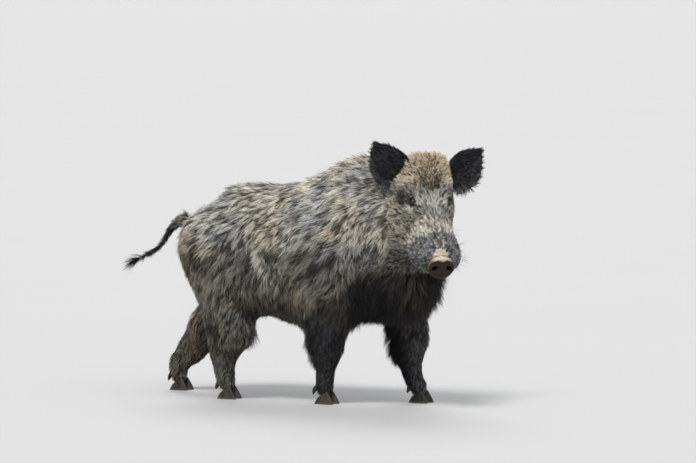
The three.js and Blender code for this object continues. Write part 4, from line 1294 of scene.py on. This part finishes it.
nose_faces = sleeve(len(nose_section), NOSE_STEPS, False, False)
nose = piece_of("nose", world_of(nose_points), nose_faces, nose_material)
local = nose_points - NOSE_AT
x, z, ahead = local @ nose_left, local @ nose_up, local @ nose_out
ring_reach = np.repeat([reach for reach, _ in nose_section], NOSE_STEPS)
behind = np.repeat(np.arange(len(nose_section)) < len(nose_side), NOSE_STEPS)
wavy = z / NOSE_HALF_HEIGHT + 0.10 * np.cos(x / 6.5) - 0.10 * rise(np.abs(x), 18, 34)
outer_rim = behind * (rise(wavy, 0.55, 0.82) + 0.30 * rise(ring_reach, 0.96, 1.0) * rise(wavy, -0.45, -0.10))
inner_rim = ~behind * rise(ring_reach, 0.935, 0.985) * rise(wavy, -0.30, 0.40)
pale_rim = np.maximum(np.clip(outer_rim, 0, 1), np.maximum(inner_rim, ~behind * rise(wavy, 0.78, 0.92)))
pit_painted_shade = np.maximum(*(rise(from_nostril(x, z, side), 0.98, 0.60) * ~behind for side in (-1, 1)))
# The nose's own marks are its pale rim and the painted shade inside its nostrils.
add_marks(nose.data, dict(dark=pale_rim, pale=pit_painted_shade, warm=np.zeros(len(x)), bare=np.ones(len(x))))
merge(nose, fill_holes=True)
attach(nose, "root")
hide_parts("nose_disc")

# ---------------------------------------------------------------- the hooves
# Two horn claws to each foot, flat beneath and worn at the toe, with growth rings round the wall, and a pair
# of small dewclaws behind and above them.

horn_paint = Paint("horn", Roughness=0.45, Specular_IOR_Level=0.3)
level = horn_paint.node("ShaderNodeSeparateXYZ", {}, horn_paint.place())[2]
long_noise = horn_paint.noise(60.0, 4.0, (1.0, 1.0, 0.16))
rings = horn_paint.node("ShaderNodeMath", {"operation": "SINE"}, level * 1500.0 + 9.0 * long_noise)[0]
horn_colour = horn_paint.mix(long_noise.between(0.35, 0.68), (0.010, 0.009, 0.008), (0.038, 0.031, 0.025))
worn = level.between(0.010, 0.001)
horn_colour = horn_paint.mix(worn * 0.6, horn_colour, (0.085, 0.068, 0.052))
horn_rough = 0.38 + 0.3 * long_noise
horn_material = horn_paint.finish(horn_colour, horn_rough, rings * 0.3 + long_noise, 0.0009, 0.6)


# Each ring's height as a share of the claw's, and how far the wall swells there, in millimetres.
CLAW_LEVELS = [(0.0, -1.0), (0.0, 0.0), (0.03, 0.5), (0.12, 0.8), (0.3, 0.6), (0.5, 0.3), (0.7, 0.1)]
CLAW_LEVELS += [(0.85, 0.0), (0.95, -0.6), (1.0, -2.2)]
CLAW_HEIGHT, CLAW_STEPS = 42.0, 56
DEWCLAW_LENGTH, DEWCLAW_RADIUS, DEWCLAW_RINGS = 31.0, 8.8, 14
turn = np.linspace(0, math.tau, CLAW_STEPS, endpoint=False)
ahead = (0.5 - 0.5 * np.cos(turn)) * 1.12 - 0.12
lean = 1 - np.clip(ahead, 0, 1)
at_toe = np.clip(ahead, 0, 1) ** 2
claw_side = 0.5 * np.sign(np.sin(turn)) * np.abs(np.sin(turn)) ** 0.80
for leg in LEG_NAMES:
    for which in ("inner", "outer"):
        low, high = (np.array(corner) * 1000 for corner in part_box(f"claw_{leg}_{which}"))
        middle_x = (low[0] + high[0]) / 2
        heel, toe = high[1] - 9.0, low[1]
        length, width = heel - toe, (high[0] - low[0]) * 0.98
        inward = 1.0 if (which == "inner") == leg.endswith("right") else -1.0
        across = claw_side * (1 - 0.40 * at_toe) + inward * 0.13 * at_toe
        rings_at = []
        for up, swell in CLAW_LEVELS:
            x = middle_x + across * width * (1 - 0.24 * up) + swell * np.sign(across) * 0.9
            reach = ahead * length * (1 - 0.36 * up ** 1.25) + 9.0 * up * lean + swell * 0.9
            z = up * CLAW_HEIGHT * (1.0 - 0.56 * lean)
            rings_at.append(np.stack([x, heel - reach, z], axis=1))
        points = np.concatenate(rings_at) / 1000.0
        points[:, 2] = np.maximum(points[:, 2], 0.0)
        faces = sleeve(len(CLAW_LEVELS), CLAW_STEPS, True, True)
        claw = piece_of(f"hoof_{leg}_{which}", points, faces, horn_material)
        merge(claw)
        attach(claw, "root")
        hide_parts(f"claw_{leg}_{which}")

        low, high = (np.array(corner) * 1000 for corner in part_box(f"dewclaw_{leg}_{which}"))
        side = 1.0 if (which == "outer") != leg.endswith("right") else -1.0
        way = unit(np.array([side * 0.25, 0.45, -0.86]))
        root = (low + high) / 2 - 16.0 * way
        cross = unit(np.cross(way, (1.0, 0.0, 0.0)))
        other = np.cross(way, cross)
        rings_at = []
        for up in np.linspace(0, 1, DEWCLAW_RINGS):
            radius = DEWCLAW_RADIUS * (1 - up ** 2.2) ** 0.8 + 0.05
            spoke = np.cos(turn)[:, None] * cross + 0.9 * np.sin(turn)[:, None] * other
            bow = 3.0 * math.sin(up * math.pi) * cross
            rings_at.append(root + DEWCLAW_LENGTH * up * way + radius * spoke - bow)
        points = np.concatenate(rings_at) / 1000.0
        faces = sleeve(DEWCLAW_RINGS, CLAW_STEPS, True, True)
        dew = piece_of(f"dewclaw_{leg}_{which}_horn", points, faces, horn_material)
        merge(dew)
        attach(dew, "root")
        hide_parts(f"dewclaw_{leg}_{which}")
